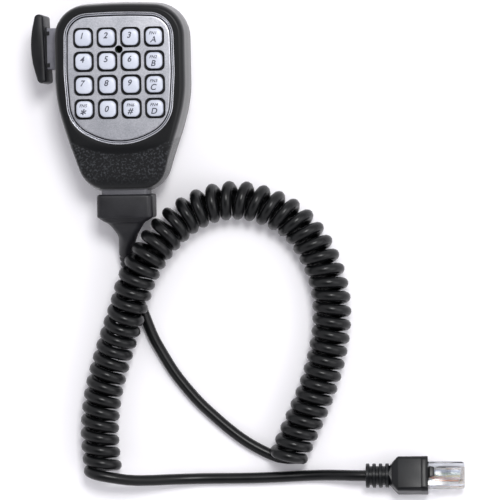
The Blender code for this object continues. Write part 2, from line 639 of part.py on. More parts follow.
def make_key(name, x, y, finish):
    """Rubber key: a pillar over its contact, a skirt that the panel holds back, and a crowned cap."""
    cap = KEY_CAP / 2
    pillar = cap - KEY_PILLAR_INSET
    cap_top = FACE_Z + KEY_PROUD
    skirt = KEY_SIZE / 2
    levels = ((pillar, PILLAR_Z), (pillar, SKIRT_BOTTOM_Z), (skirt, SKIRT_BOTTOM_Z), (skirt, SKIRT_TOP_Z),
              (cap, SKIRT_TOP_Z), (cap, cap_top - KEY_CROWN), (cap - KEY_CROWN, cap_top))
    loops = [at_height(rectangle(half, half, KEY_CORNER, (x, y), steps=2), z) for half, z in levels]
    loft(f"key_{name}", loops, finish, (x, y, SKIRT_BOTTOM_Z))


def make_key_mat(finish):
    """Rubber sheet on the board, open under every key and at the sound hole."""
    low = BOARD_TOP_Z + GAP
    mat = prism("key_mat", keypad_outline(MAT_MARGIN, KEY_CORNER + 2.6 * MM), low, MAT_TOP_Z, finish)
    for name, x, y in key_places():
        half = KEY_CAP / 2 + GAP
        hole = rectangle(half, half, KEY_CORNER, (x, y), steps=2)
        cut(mat, prism(f"mat_hole_{name}", hole, low - CUT_PAST / 4, MAT_TOP_Z + CUT_PAST))
    sound = circle(MIC_HOLE_RADIUS, (0.0, MIC_Y))
    cut(mat, prism("mat_mic_hole", sound, low - CUT_PAST, MAT_TOP_Z + CUT_PAST))


# ---------------------------------------------------------------- electronics


def make_board(finish):
    board = prism("circuit_board", board_outline(), BOARD_Z, BOARD_TOP_Z, finish)
    side_x, side_y = board_screw_places()[0]
    for index, sign in enumerate((1, -1)):
        half = BOARD_BOSS_RADIUS
        ear = rectangle(half, half, half / 2, (sign * side_x, side_y), steps=2)
        join(board, prism(f"board_ear_{index}", ear, BOARD_Z, BOARD_TOP_Z))
    holes = [(place, BOARD_SCREW_RADIUS + SCREW_HOLE_EXTRA) for place in board_screw_places()]
    holes.append(((0.0, MIC_Y), MIC_HOLE_RADIUS))
    for index, (place, radius) in enumerate(holes):
        outline = circle(radius, place, 10)
        hole = prism(f"board_hole_{index}", outline, BOARD_Z - CUT_PAST, BOARD_TOP_Z + CUT_PAST)
        cut(board, hole)


def make_microphone(capsule_finish, boot_finish):
    """Electret capsule in a rubber sleeve, facing the sound hole through the board."""
    top = BOARD_Z - GAP
    low = top - CAPSULE_HEIGHT
    place = (0.0, MIC_Y)
    prism("mic_capsule", circle(CAPSULE_RADIUS, place, 20), low, top, capsule_finish, (*place, low))
    inner = CAPSULE_RADIUS + GAP
    around = circle(inner + CAPSULE_BOOT_WALL, place, 20)
    sleeve = prism("mic_sleeve", around, low + GAP, top, boot_finish, (*place, low))
    cut(sleeve, prism("mic_sleeve_hole", circle(inner, place, 20), low - CUT_PAST, top + CUT_PAST))


def under_board(name, place, size, finish):
    """Box-shaped component that hangs under the board at its (x, y) place."""
    top = BOARD_Z - GAP
    outline = rectangle(size.x / 2, size.y / 2, 0.4 * MM, place, steps=1)
    return prism(name, outline, top - size.z, top, finish, (*place, top))


def socket_y():
    """Place of the cord socket, just above the board's lower edge."""
    return BOARD_BOTTOM_Y + SOCKET_SIZE.y / 2 + 1.0 * MM


def make_inner_connection(plug_finish, lead_finish):
    """Small plug in the board's socket and the inner lead that runs to it from the bush."""
    high_y = socket_y() - SOCKET_SIZE.y / 2 - GAP
    low_y = high_y - INNER_PLUG_LENGTH
    high_z = BOARD_Z - GAP - 0.5 * MM
    low = Vector((-SOCKET_SIZE.x / 2 + 1 * MM, low_y, high_z - SOCKET_SIZE.z + 1 * MM))
    block("inner_plug", low, Vector((-low.x, high_y, high_z)), plug_finish, (0.0, high_y, high_z))
    start = Vector((0.0, bush_flange_y() + BUSH_FLANGE_THICK + GAP, BUSH_CENTRE_Z))
    end = Vector((0.0, low_y - GAP, (low.z + high_z) / 2))
    loops = []
    for step in range(9):
        share = step / 8
        rise = share * share * (3 - 2 * share)
        z = start.z + (end.z - start.z) * rise
        y = start.y + (end.y - start.y) * share
        loops.append([(x, y, z + w) for x, w in circle(INNER_LEAD_RADIUS, steps=10)])
    loft("inner_lead", loops, lead_finish, start)


# ---------------------------------------------------------------- push-to-talk


def spring_end_x():
    return flange_x() + PTT_FLANGE_THICK + GAP + SPRING_LENGTH + 2 * SPRING_WIRE_RADIUS


def make_ptt(finish):
    """Bowed bar outside the case, on a stem with a retaining flange and a nose that meets the switch lever."""
    near = -CASE_HALF_WIDTH - PTT_STANDOFF
    far = near - PTT_THICK + PTT_BOW
    end = PTT_LENGTH / 2
    corners = [
        (near, PTT_CENTRE_Y - end + 1 * MM, 1.2 * MM),
        (near, PTT_CENTRE_Y + end - 1 * MM, 1.2 * MM),
        (far, PTT_CENTRE_Y + end, 2.0 * MM),
        (near - PTT_THICK - 0.5 * MM, PTT_CENTRE_Y, 42.0 * MM),
        (far, PTT_CENTRE_Y - end, 2.0 * MM),
    ]
    middle = Vector((near, PTT_CENTRE_Y))
    lean = Matrix.Rotation(PTT_LEAN, 2)
    corners = [(*(middle + lean @ (Vector((x, y)) - middle)), radius) for x, y, radius in corners]
    half = PTT_HEIGHT / 2
    profile = ((1.0 * MM, -half), (0.3 * MM, 0.7 * MM - half), (0.0, 2 * MM - half),
               (0.0, half - 2 * MM), (0.3 * MM, half - 0.7 * MM), (1.0 * MM, half))
    loops = [at_height(rounded_outline(corners, inset, steps=3), SPLIT_Z + z) for inset, z in profile]
    bar = loft("ptt_button", loops, finish, (near, PTT_CENTRE_Y, SPLIT_Z))
    half_length = PTT_STEM_LENGTH / 2
    half_height = PTT_STEM_HEIGHT / 2
    inner = flange_x() + PTT_FLANGE_THICK
    low = Vector((near - 1 * MM, PTT_CENTRE_Y - half_length, SPLIT_Z - half_height))
    high = Vector((inner - 0.4 * MM, PTT_CENTRE_Y + half_length, SPLIT_Z + half_height))
    join(bar, block("ptt_stem", low, high))
    flange_half = half_length + PTT_FLANGE_LAP
    low = Vector((flange_x(), PTT_CENTRE_Y - flange_half, SPLIT_Z - half_height - PTT_FLANGE_LAP))
    high = Vector((inner, PTT_CENTRE_Y + flange_half, ptt_flange_top()))
    join(bar, block("ptt_flange", low, high))
    tip = on_lever(LEVER_LENGTH, -LEVER_THICK / 2)
    hinge = lever_hinge()
    nose_y = tip.y - PTT_NOSE_WIDTH / 2
    nose_low = hinge.z - LEVER_WIDTH / 2
    low = Vector((inner - 0.5 * MM, nose_y - PTT_NOSE_WIDTH / 2, nose_low - 1 * MM))
    high = Vector((tip.x - GAP, nose_y + PTT_NOSE_WIDTH / 2, min(ptt_flange_top(), nose_low + 2.2 * MM)))
    join(bar, block("ptt_nose", low, high))


def ptt_flange_top():
    """The flange passes under the heads of the board screws."""
    return BOARD_Z - GAP - BOARD_SCREW_HEAD_THICK - 2 * GAP


def make_ptt_spring(finish):
    """Compression spring between the stem's flange and its seat in the rear case."""
    start = flange_x() + PTT_FLANGE_THICK + GAP + SPRING_WIRE_RADIUS
    z = SPLIT_Z - SPRING_BELOW_SPLIT
    per_turn = 10
    count = SPRING_TURNS * per_turn
    points = []
    for step in range(count + 1):
        angle = 2 * math.pi * step / per_turn
        y = SPRING_RADIUS * math.cos(angle)
        points.append((SPRING_LENGTH * step / count, y, SPRING_RADIUS * math.sin(angle)))
    tube("ptt_spring", points, SPRING_WIRE_RADIUS, 1, finish, (start, SPRING_Y, z))


def make_switch(body_finish, lever_finish, plunger_finish):
    low, high = switch_box()
    body = block("switch_body", low, high, body_finish, low)
    plunger_y = lever_hinge().y + PLUNGER_FROM_HINGE
    plunger_z = lever_hinge().z
    tip = on_lever(PLUNGER_FROM_HINGE, LEVER_THICK / 2).x + GAP

    def round_x(name, radius, start, finish=None):
        loops = [[(x, plunger_y + u, plunger_z + w) for u, w in circle(radius, steps=10)]
                 for x in (start, tip + PLUNGER_LENGTH + (0 if finish else 2 * GAP + PTT_TRAVEL / 2))]
        return loft(name, loops, finish, (start, plunger_y, plunger_z))

    cut(body, round_x("plunger_hole", PLUNGER_RADIUS + 0.2 * MM, low.x - LEVER_OFF_SWITCH / 2))
    round_x("switch_plunger", PLUNGER_RADIUS, tip, plunger_finish)
    half = LEVER_THICK / 2
    marks = ((0.0, half), (LEVER_LENGTH, half), (LEVER_LENGTH, -half), (0.0, -half))
    outline = [on_lever(distance, offset)[:2] for distance, offset in marks]
    low_z, high_z = plunger_z - LEVER_WIDTH / 2, plunger_z + LEVER_WIDTH / 2
    prism("switch_lever", outline, low_z, high_z, lever_finish, lever_hinge())


# ---------------------------------------------------------------- cord and its ends


def smooth_points(route, spacing):
    """Evenly spaced points, in metres, along the smooth curve through a route's own points."""
    marks = [Vector(p) * MM for p in route]
    padded = [2 * marks[0] - marks[1], *marks, 2 * marks[-1] - marks[-2]]
    fine = []
    for a, b, c, d in zip(padded, padded[1:], padded[2:], padded[3:]):
        for step in range(20):
            t = step / 20
            fine.append(0.5 * (2 * b + (c - a) * t + (2 * a - 5 * b + 4 * c - d) * t ** 2
                               + (3 * b - a - 3 * c + d) * t ** 3))
    fine.append(marks[-1])
    lengths = [0.0]
    for a, b in zip(fine, fine[1:]):
        lengths.append(lengths[-1] + (b - a).length)
    count = max(2, round(lengths[-1] / spacing))
    points, index = [], 0
    for step in range(count + 1):
        target = lengths[-1] * step / count
        while index < len(fine) - 2 and lengths[index + 1] < target:
            index += 1
        share = (target - lengths[index]) / (lengths[index + 1] - lengths[index])
        points.append(fine[index].lerp(fine[index + 1], min(1.0, share)))
    return points


def tube(name, points, radius, resolution, finish, origin=(0.0, 0.0, 0.0)):
    """Round tube with filled ends along a list of points."""
    data = bpy.data.curves.new(name, "CURVE")
    data.dimensions = "3D"
    data.bevel_depth = radius
    data.bevel_resolution = resolution
    data.use_fill_caps = True
    spline = data.splines.new("POLY")
    spline.points.add(len(points) - 1)
    for target, point in zip(spline.points, points):
        target.co = (*point, 1.0)
    data.materials.append(finish)
    obj = bpy.data.objects.new(name, data)
    obj.location = origin
    bpy.context.scene.collection.objects.link(obj)
    return obj


def bush_flange_y():
    """Outer face of the bush's flange, inside the case's lower wall."""
    return CASE_BOTTOM_Y + BUSH_DEPTH_IN_CASE - BUSH_FLANGE_THICK


def make_strain_relief(finish):
    """Moulded bush: flange, collar, block and a tail that thins, bends down to the surface and ends in rings."""
    block_y = CASE_BOTTOM_Y - BUSH_BLOCK_OFF_CASE
    block_end = block_y - BUSH_BLOCK_LENGTH
    flange_y = bush_flange_y()
    inner_y = flange_y + BUSH_FLANGE_THICK
    flange_high = BUSH_COLLAR_HALF_HEIGHT + 0.4 * MM
    flange = (BUSH_FLANGE_HALF_WIDTH, flange_high)
    collar = (BUSH_COLLAR_HALF_WIDTH, BUSH_COLLAR_HALF_HEIGHT)
    wide, high = BUSH_BLOCK_HALF_WIDTH, BUSH_BLOCK_HALF_HEIGHT
    sections = [(inner_y, *flange), (flange_y, *flange), (flange_y, *collar), (block_y, *collar),
                (block_y, wide - 0.5 * MM, high - 0.5 * MM), (block_y - 0.5 * MM, wide, high),
                (block_end + 1.2 * MM, wide, high), (block_end, wide - 0.7 * MM, high - 0.9 * MM)]
    loops = [[(x, y, BUSH_CENTRE_Z + z) for x, z in rectangle(half_x, half_z, BUSH_EDGE)]
             for y, half_x, half_z in sections]
    shift = Vector((0.0, block_end / MM, BUSH_CENTRE_Z / MM)) - Vector(TAIL_ROUTE[0])
    path = smooth_points([Vector(p) + shift for p in TAIL_ROUTE], 1.3 * MM)
    ring_start = len(path) - 2 - round(3.5 * BUSH_RING_PITCH / (1.3 * MM))
    for index in range(1, len(path)):
        along = (path[min(index + 1, len(path) - 1)] - path[index - 1]).normalized()
        side = along.cross(Vector((0.0, 0.0, 1.0))).normalized()
        up = side.cross(along)
        thinning = math.exp(-index / 3.1)
        half_x = BUSH_TAIL_RADIUS + (wide - BUSH_TAIL_RADIUS - 0.7 * MM) * thinning * (1 - thinning * 0.12)
        half_z = BUSH_TAIL_RADIUS + (high - BUSH_TAIL_RADIUS - 0.9 * MM) * thinning
        if index > ring_start and (index - ring_start) % 2:
            half_x -= BUSH_RING_DEPTH
            half_z -= BUSH_RING_DEPTH
        outline = rectangle(half_x, half_z, BUSH_TAIL_RADIUS)
        loops.append([path[index] - side * u + up * w for u, w in outline])
    loft("strain_relief", loops, finish, (0.0, block_y, BUSH_CENTRE_Z))


def in_plug(u, v, w):
    """World point at u along the plug from the boot's rear, v across its width and w through its thickness."""
    cos, sin = math.cos(BOOT_ROLL), math.sin(BOOT_ROLL)
    return BOOT_REAR + Vector((u, v * cos - w * sin, v * sin + w * cos))


def plug_loft(name, sections, finish=None, origin=None):
    """Body through rounded rectangles given as (u, half width, half thickness, radius, centre w)."""
    loops = [[in_plug(u, v, w + centre) for v, w in rectangle(half_v, half_w, radius)]
             for u, half_v, half_w, radius, centre in sections]
    return loft(name, loops, finish, origin or in_plug(sections[0][0], 0.0, 0.0))


def plug_start():
    """Distance along the plug's axis from the boot's rear to the rear of the clear plug body."""
    return BOOT_TAIL_LENGTH + BOOT_BODY_LENGTH - PLUG_IN_BOOT


def make_boot(finish):
    """Rubber boot: a ribbed tail, a chamfered body with a socket for the plug, and a guard over the latch."""
    rib_pitch = BOOT_TAIL_LENGTH / BOOT_RIBS
    sections = []
    for rib in range(BOOT_RIBS):
        start = rib * rib_pitch
        for u, radius in ((0.0, BOOT_TAIL_RADIUS), (0.55, BOOT_TAIL_RADIUS), (0.6, BOOT_GROOVE_RADIUS),
                          (1.0, BOOT_GROOVE_RADIUS)):
            sections.append((start + u * rib_pitch, radius, radius, radius, 0.0))
    start = BOOT_TAIL_LENGTH
    end = start + BOOT_BODY_LENGTH
    wide, thick = BOOT_WIDTH / 2, BOOT_THICK / 2
    lip = 0.5 * MM
    sections += [(start, wide - BOOT_CHAMFER, thick - BOOT_CHAMFER / 2, BOOT_CORNER, 0.0),
                 (start + BOOT_CHAMFER, wide - lip, thick - lip, BOOT_CORNER, 0.0),
                 (end - 3.0 * MM, wide - lip, thick - lip, BOOT_CORNER, 0.0),
                 (end - 3.0 * MM, wide, thick, BOOT_CORNER, 0.0),
                 (end, wide, thick, BOOT_CORNER, 0.0)]
    boot = plug_loft("plug_boot", sections, finish)
    guard_v = GUARD_WIDTH / 2
    latch_tip = PLUG_THICK / 2 + LATCH_THICK + LATCH_LENGTH * math.sin(LATCH_REST_ANGLE)
    above = latch_tip + 2 * GAP + GUARD_THICK / 2
    guard = [(end - 5.0 * MM, guard_v, GUARD_THICK, thick - 0.8 * MM),
             (end - 1.0 * MM, guard_v, GUARD_THICK / 2, (thick + above) / 2),
             (end + 2.0 * MM, guard_v, GUARD_THICK / 2, above),
             (end + 6.5 * MM, guard_v * 0.8, GUARD_THICK / 2, above)]
    join(boot, plug_loft("latch_guard", [(u, v, w, 0.3 * MM, centre) for u, v, w, centre in guard]))
    socket_v, socket_w = PLUG_WIDTH / 2 + GAP, PLUG_THICK / 2 + GAP
    socket = [(u, socket_v, socket_w, PLUG_CORNER, 0.0) for u in (plug_start() - GAP, end + CUT_PAST)]
    cut(boot, plug_loft("boot_socket", socket))


def make_plug(body_finish, latch_finish, contact_finish):
    """Eight-way modular plug: clear body with a slot for each contact blade, and a sprung latch on top."""
    start = plug_start()
    end = start + PLUG_LENGTH
    v, w = PLUG_WIDTH / 2, PLUG_THICK / 2
    sections = [(start, v, w, PLUG_CORNER, 0.0), (end - 1 * MM, v, w, PLUG_CORNER, 0.0),
                (end, v - 0.5 * MM, w - 0.5 * MM, PLUG_CORNER, 0.0)]
    body = plug_loft("plug_body", sections, body_finish)
    for index in range(CONTACT_COUNT):
        across = (index - (CONTACT_COUNT - 1) / 2) * CONTACT_PITCH
        low, high = end - CONTACT_LENGTH - 1.5 * MM, end - 1.5 * MM
        slot = CONTACT_SLOT / 2
        depth = CONTACT_DEPTH + 3 * GAP
        loops = [[in_plug(u, across + a, b) for a, b in
                  ((-slot, -w - GAP), (slot, -w - GAP), (slot, -w + depth), (-slot, -w + depth))]
                 for u in (low - GAP, end + GAP)]
        cut(body, loft(f"contact_slot_{index}", loops, None))
        blade = CONTACT_THICK / 2
        face = -w + 2 * GAP
        inner = face + CONTACT_DEPTH - GAP
        section = ((-blade, face), (blade, face), (blade, inner), (-blade, inner))
        loops = [[in_plug(u, across + a, b) for a, b in section] for u in (low, high)]
        loft(f"contact_{index + 1}", loops, contact_finish, in_plug(low, across, face))
    root_u = end - LATCH_ROOT_FROM_NOSE
    root_w = w + GAP + LATCH_THICK / 2
    cos, sin = math.cos(LATCH_REST_ANGLE), math.sin(LATCH_REST_ANGLE)
    loops = []
    step = 0.55 * LATCH_LENGTH
    widths = ((0.0, LATCH_WIDTH), (step, LATCH_WIDTH), (step + GAP, LATCH_TIP_WIDTH),
              (LATCH_LENGTH, LATCH_TIP_WIDTH))
    for distance, width in widths:
        u, rise = root_u - distance * cos, root_w + distance * sin
        thick = LATCH_THICK / 2 / cos
        loops.append([in_plug(u, a, rise + b) for a, b in rectangle(width / 2, thick, 0.2 * MM, steps=1)])
    loft("plug_latch", loops, latch_finish, in_plug(root_u, 0.0, root_w))


def make_cord(finish):
    """Three solids: the plain lead at each end and one fat tube round the curly stretch."""
    tube("cord_lead_mic", smooth_points(LEAD_1_ROUTE, LEAD_POINT_SPACING), CORD_DIAMETER / 2, 2, finish)
    tube("cord_coil", smooth_points(COIL_ROUTE, COIL_POINT_SPACING), COIL_DIAMETER / 2, 4, finish)
    tube("cord_lead_plug", smooth_points(LEAD_2_ROUTE, LEAD_POINT_SPACING), CORD_DIAMETER / 2, 2, finish)


def main():
    clear_scene()
    black_abs = material("black_abs", (0.020, 0.020, 0.023), 0.5)
    silver_paint = material("silver_paint", (0.36, 0.36, 0.39), 0.38, 0.6)
    chrome_trim = material("chrome_trim", (0.62, 0.62, 0.64), 0.2, 1.0)
    key_rubber = material("key_rubber", (0.68, 0.72, 0.80), 0.5)
    mat_rubber = material("mat_rubber", (0.015, 0.015, 0.017), 0.7)
    board_green = material("board_green", (0.02, 0.12, 0.05), 0.45)
    steel = material("zinc_plated_steel", (0.55, 0.55, 0.56), 0.35, 1.0)
    component = material("component_black", (0.02, 0.02, 0.02), 0.5)
    nylon = material("white_nylon", (0.75, 0.73, 0.66), 0.5)
    grey_rubber = material("grey_rubber", (0.065, 0.065, 0.075), 0.55)
    cord_pvc = material("cord_pvc", (0.012, 0.013, 0.014), 0.3)
    clear_plastic = material("clear_polycarbonate", (0.9, 0.92, 0.9), 0.08, 0.0, 0.9)
    gold = material("gold_plate", (0.9, 0.62, 0.2), 0.25, 1.0)

    make_front_case(black_abs)
    make_rear_case(black_abs)
    make_screws(steel)
    make_hang_up_button(steel)
    make_panel(silver_paint, chrome_trim)
    for name, x, y in key_places():
        make_key(name, x, y, key_rubber)
    make_key_mat(mat_rubber)
    make_board(board_green)
    make_microphone(steel, mat_rubber)
    under_board("encoder_chip", CHIP_PLACE, CHIP_SIZE, component)
    under_board("cord_socket", (0.0, socket_y()), SOCKET_SIZE, nylon)
    make_inner_connection(nylon, cord_pvc)
    make_ptt(black_abs)
    make_ptt_spring(steel)
    make_switch(component, steel, nylon)
    make_strain_relief(grey_rubber)
    make_cord(cord_pvc)
    make_boot(grey_rubber)
    make_plug(clear_plastic, clear_plastic, gold)


main()
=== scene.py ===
"""A hand microphone with a keypad and a curly cord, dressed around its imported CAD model.

Every length is in metres in the CAD's own frame: the keypad faces +Z, the cord leaves towards -Y, and the
hang-up button on the back stands on the surface at z = 0. Shapes are worked out as whole numpy arrays.
"""

import math

import bpy
import numpy as np
from mathutils import Matrix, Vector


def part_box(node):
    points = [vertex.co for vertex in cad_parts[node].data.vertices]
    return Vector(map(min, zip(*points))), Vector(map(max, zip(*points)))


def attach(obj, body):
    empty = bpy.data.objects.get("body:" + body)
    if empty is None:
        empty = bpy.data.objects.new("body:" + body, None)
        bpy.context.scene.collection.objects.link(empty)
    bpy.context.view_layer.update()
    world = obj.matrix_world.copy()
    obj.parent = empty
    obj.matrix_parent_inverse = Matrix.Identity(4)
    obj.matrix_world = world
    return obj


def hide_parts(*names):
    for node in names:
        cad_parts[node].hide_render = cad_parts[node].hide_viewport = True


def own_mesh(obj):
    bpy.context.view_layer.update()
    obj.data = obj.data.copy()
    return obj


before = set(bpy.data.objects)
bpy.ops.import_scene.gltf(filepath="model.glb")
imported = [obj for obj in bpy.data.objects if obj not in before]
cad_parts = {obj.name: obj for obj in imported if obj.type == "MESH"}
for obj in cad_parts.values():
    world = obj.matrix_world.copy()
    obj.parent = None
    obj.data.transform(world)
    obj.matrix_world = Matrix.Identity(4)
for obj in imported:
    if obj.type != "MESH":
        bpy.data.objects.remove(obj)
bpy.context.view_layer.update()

MM = 0.001

# ---------------------------------------------------------------- sizes, the CAD's unless a comment says so

KEY_PITCH = 10.6 * MM
KEY_CENTRE_Y = 6.0 * MM
KEY_SIZE = 9.4 * MM
# The holes in the panel are drawn a little wider than the CAD's, and the caps a little narrower.
KEY_HOLE = 9.1 * MM
KEY_CAP = 7.2 * MM
KEY_CORNER = 2.4 * MM
KEY_ROWS = (("1", "2", "3", "a"), ("4", "5", "6", "b"), ("7", "8", "9", "c"), ("star", "0", "hash", "d"))
PILLAR_Z = 29.0 * MM
SKIRT_BOTTOM_Z = 30.5 * MM
SKIRT_TOP_Z = 31.3 * MM
CAP_TOP_Z = 34.4 * MM
MIC_Y = KEY_CENTRE_Y + KEY_PITCH
MIC_HOLE_RADIUS = 1.7 * MM
# Fall of a cap's top per millimetre and per millimetre of its squared distance from the middle.
CAP_CROWN = 0.02
# Edge of a cap as (inwards, downwards) in mm, and how far the legends stand off its middle along x.
CAP_EDGE = ((0.0, 2.4), (0.0, 0.95), (0.05, 0.6), (0.18, 0.36), (0.38, 0.2), (0.6, 0.1))
LEGEND_SHIFT = -0.3 * MM

PANEL_TOP_Z = 32.9 * MM
RECESS_Z = 31.3 * MM
CEILING_Z = 30.0 * MM
TRIM_WIDTH = 0.95 * MM
PANEL_BOTTOM_Y = -24.7 * MM
# The panel's face is crowned here and flat in the CAD.
PANEL_CROWN = 0.3 * MM
PANEL_CROWN_Y = 2.0 * MM
PANEL_HALF_LENGTH = 31.0 * MM
GAP = 0.3 * MM

BACK_Z = 5.0 * MM
SPLIT_Z = 18.0 * MM
FACE_Z = 33.0 * MM
CASE_WALL = 2.2 * MM
CASE_HALF_WIDTH = 30.5 * MM
CASE_BOTTOM_Y = -47.5 * MM
# Share of a point's height above the split that it loses at the bottom of the chin.
CHIN_DROP = 0.4
# Width of the rolled edge round the face. Unlike the CAD's, the walls draw in sideways down the chin.
EDGE_ROLL = 3.4 * MM
WALL_DRAW = 1.8 * MM
WALL_DRAW_FROM_Y = -14.0 * MM
WALL_DRAW_LENGTH = 24.0 * MM
CASE_SCREWS = np.array(((16.5, 31.1), (-16.5, 31.1), (12.6, -35.9), (-12.6, -35.9))) * MM

# Corners (x, y, radius in mm) of the right half of each outline, then its top and bottom apex. The case's
# lowest corner is up to 0.7 mm off the CAD's.
CASE_CORNERS = ((19.4, -46.9, 14), (30.5, -5, 60), (30.4, 37.2, 15.5)), (0, 38.53, 250), (0, -47.1, 250)
PANEL_CORNERS = ((23.15, -17.2, 16), (24.75, 6, 60), (24.25, 32.1, 10.5)), (0, 33.3, 250), (0, -29.3, 29)

PTT_NEAR_X = -34.3 * MM
PTT_THICK = 7.2 * MM
PTT_CENTRE_Y = 17.8 * MM
PTT_LENGTH = 32.0 * MM
PTT_HEIGHT = 20.0 * MM
PTT_BOW = 3.6 * MM
PTT_LEAN = math.radians(1.8)
PTT_STEM_LENGTH = 18.6 * MM
PTT_STEM_HEIGHT = 11.2 * MM
PTT_FLANGE_X = -25.3 * MM
# Clips that only this model has, as distances from the bar's middle.
PTT_CLIPS = (6.9 * MM, -7.4 * MM)

BUSH_Z = 16.1 * MM
BUSH_COLLAR = (10.6 * MM, 7.9 * MM)
BUSH_BLOCK = (12.7 * MM, 9.1 * MM)
BUSH_BLOCK_Y = -48.3 * MM
BUSH_BLOCK_LENGTH = 10.7 * MM
BUSH_INNER_Y = -39.9 * MM
BUSH_FLANGE_HALF_WIDTH = 11.8 * MM
BUSH_FLANGE_THICK = 1.5 * MM
BUSH_TAIL_RADIUS = 3.5 * MM
BUSH_RIB_PITCH_MM = 2.7

CORD_DIAMETER = 5.0 * MM
# Radius of the coil's centre line, 0.2 mm more than in the CAD, whose coil is a plain tube.
COIL_RADIUS = 6.45 * MM
COIL_TURNS = 49.5
# The coil's axis runs on past its first and last mark, and lies a little higher than the marks.
COIL_PAST_ENDS = (2.8 * MM, 4.2 * MM)
COIL_LIFT = 0.15 * MM
POINTS_A_TURN = 20
# Lean of the turns in degrees at shares of the coil's length: turns of a bent coil lag behind its bend.
COIL_LEAN = ((0.0, 20.0), (0.1, 17.0), (0.17, 9.0), (0.28, -3.0), (0.46, 0.0), (0.65, 11.0), (0.8, 8.0),
             (0.89, 0.0), (1.0, -8.0))
# Pitch of the turns at shares of the coil's length, in any one unit: the top of the bend is pulled open.
COIL_PITCH = ((0.0, 5.6), (0.15, 5.6), (0.3, 5.9), (0.46, 6.5), (0.56, 6.3), (0.7, 5.6), (1.0, 5.6))

BOOT_REAR = np.array((106.2, -178.5, 7.5)) * MM
BOOT_ROLL = math.radians(-20.0)
BOOT_TAIL_LENGTH = 11.8 * MM
BOOT_BODY_LENGTH = 16.4 * MM
BOOT_WIDTH = 14.8 * MM
BOOT_THICK = 12.0 * MM
# The boot's lip and sides stand out further than in the CAD.
BOOT_FLARE = 0.8 * MM
PLUG_START = 23.3 * MM
PLUG_WIDTH = 11.68 * MM
PLUG_LENGTH = 21.46 * MM
PLUG_THICK = 6.5 * MM
LATCH_LENGTH = 13.2 * MM
LATCH_REST_ANGLE = math.radians(12.0)
WIRE_PITCH = 1.02 * MM
BLADE_SLOT = 0.32 * MM
SPRING_TURNS = 5
SPRING_WIRE_RADIUS = 0.35 * MM

# Routes of the cord in mm: the bush's tail, the lead to the coil, the coil's own axis and the lead to the
# plug, which leaves the coil in a rounder curve than the CAD's.
TAIL_ROUTE = ((0, -59, 16.1), (0, -63, 15.2), (-0.3, -67, 12.6), (-1.2, -71, 9.4), (-1.7, -75, 6.7),
              (-1.6, -79, 4.9), (-1.3, -83, 4.1))
LEAD_1_ROUTE = ((-1.1, -83.6, 4.0), (-0.1, -88, 3.2), (2.3, -96, 2.6), (5.6, -105, 2.55), (9.2, -114.4, 2.55),
                (13.7, -122.7, 2.55), (18.6, -130.8, 2.55), (24.3, -138.3, 2.55), (30.5, -145.4, 2.55),
                (37.4, -151.9, 2.55), (44.4, -158.0, 2.55), (52.0, -163.6, 2.55), (59.9, -168.0, 2.55),
                (65.6, -170.4, 2.6))
COIL_ROUTE = ((71.3, -168.6, 8.9), (76.5, -157.1, 8.9), (81.7, -145.5, 8.9), (86.3, -133.7, 8.9),
              (89.7, -121.5, 8.9), (91.7, -109.0, 8.9), (91.6, -96.4, 8.9), (88.9, -84.0, 8.9),
              (83.6, -72.4, 8.9), (75.5, -62.2, 8.9), (64.3, -55.6, 8.9), (52.0, -52.2, 9.0),
              (39.4, -53.1, 9.3), (27.7, -58.0, 10.4), (17.8, -66.2, 13.4), (9.8, -76.2, 15.6),
              (3.7, -87.3, 15.2), (-0.5, -99.7, 13.6), (-4.7, -110.9, 10.9), (-8.9, -122.9, 9.2),
              (-12.5, -135.0, 8.9), (-14.8, -147.5, 8.9), (-15.5, -160.1, 8.9), (-14.6, -172.7, 8.9))
LEAD_2_ROUTE = ((-8.0, -178.2, 14.5), (-1.0, -179.4, 12.4), (7.0, -179.9, 9.4), (15.0, -180.0, 6.4),
                (23.0, -180.1, 4.1), (31.0, -180.1, 2.8), (42.0, -180.1, 2.55), (54.0, -180.0, 2.55),
                (67.0, -179.6, 2.55), (79.0, -179.0, 2.7), (87.0, -178.7, 3.6), (94.0, -178.55, 5.3),
                (100.0, -178.5, 7.1), (108.0, -178.5, 7.5))

# ---------------------------------------------------------------- shapes as arrays


def unit(vectors):
    """Each vector divided by its length."""
    return vectors / np.linalg.norm(vectors, axis=-1, keepdims=True)


def rounded_outline(corners, inset=0.0, arc=8, side=4):
    """Closed anticlockwise outline through (x, y, radius) corners in metres, moved inwards by inset.

    At each corner the two sides move in by the inset and an arc of the radius less the inset joins them:
    arc steps on each arc, then side steps along the straight part to the next one."""
    table = np.array(corners, float)
    point, radius = table[:, :2], table[:, 2]
    arriving = unit(point - np.roll(point, 1, 0))
    leaving = unit(np.roll(point, -1, 0) - point)
    inward_a = np.stack([-arriving[:, 1], arriving[:, 0]], 1)
    inward_b = np.stack([-leaving[:, 1], leaving[:, 0]], 1)
    corner = point + (inward_a + inward_b) * (inset / (1 + (inward_a * inward_b).sum(1)))[:, None]
    turn = np.arccos(np.clip((arriving * leaving).sum(1), -1, 1))
    bend = np.maximum(radius - inset, 0.05 * MM)
    centre = corner - arriving * (bend * np.tan(turn / 2))[:, None] + inward_a * bend[:, None]
    start = np.arctan2(-inward_a[:, 1], -inward_a[:, 0])
    angle = start[:, None] + turn[:, None] * np.linspace(0, 1, arc + 1)
    arcs = centre[:, None] + bend[:, None, None] * np.stack([np.cos(angle), np.sin(angle)], 2)
    share = np.linspace(0, 1, side + 1)[None, 1:-1, None]
    ends, starts = arcs[:, -1:], np.roll(arcs[:, :1], -1, 0)
    return np.concatenate([arcs, ends + (starts - ends) * share], 1).reshape(-1, 2)


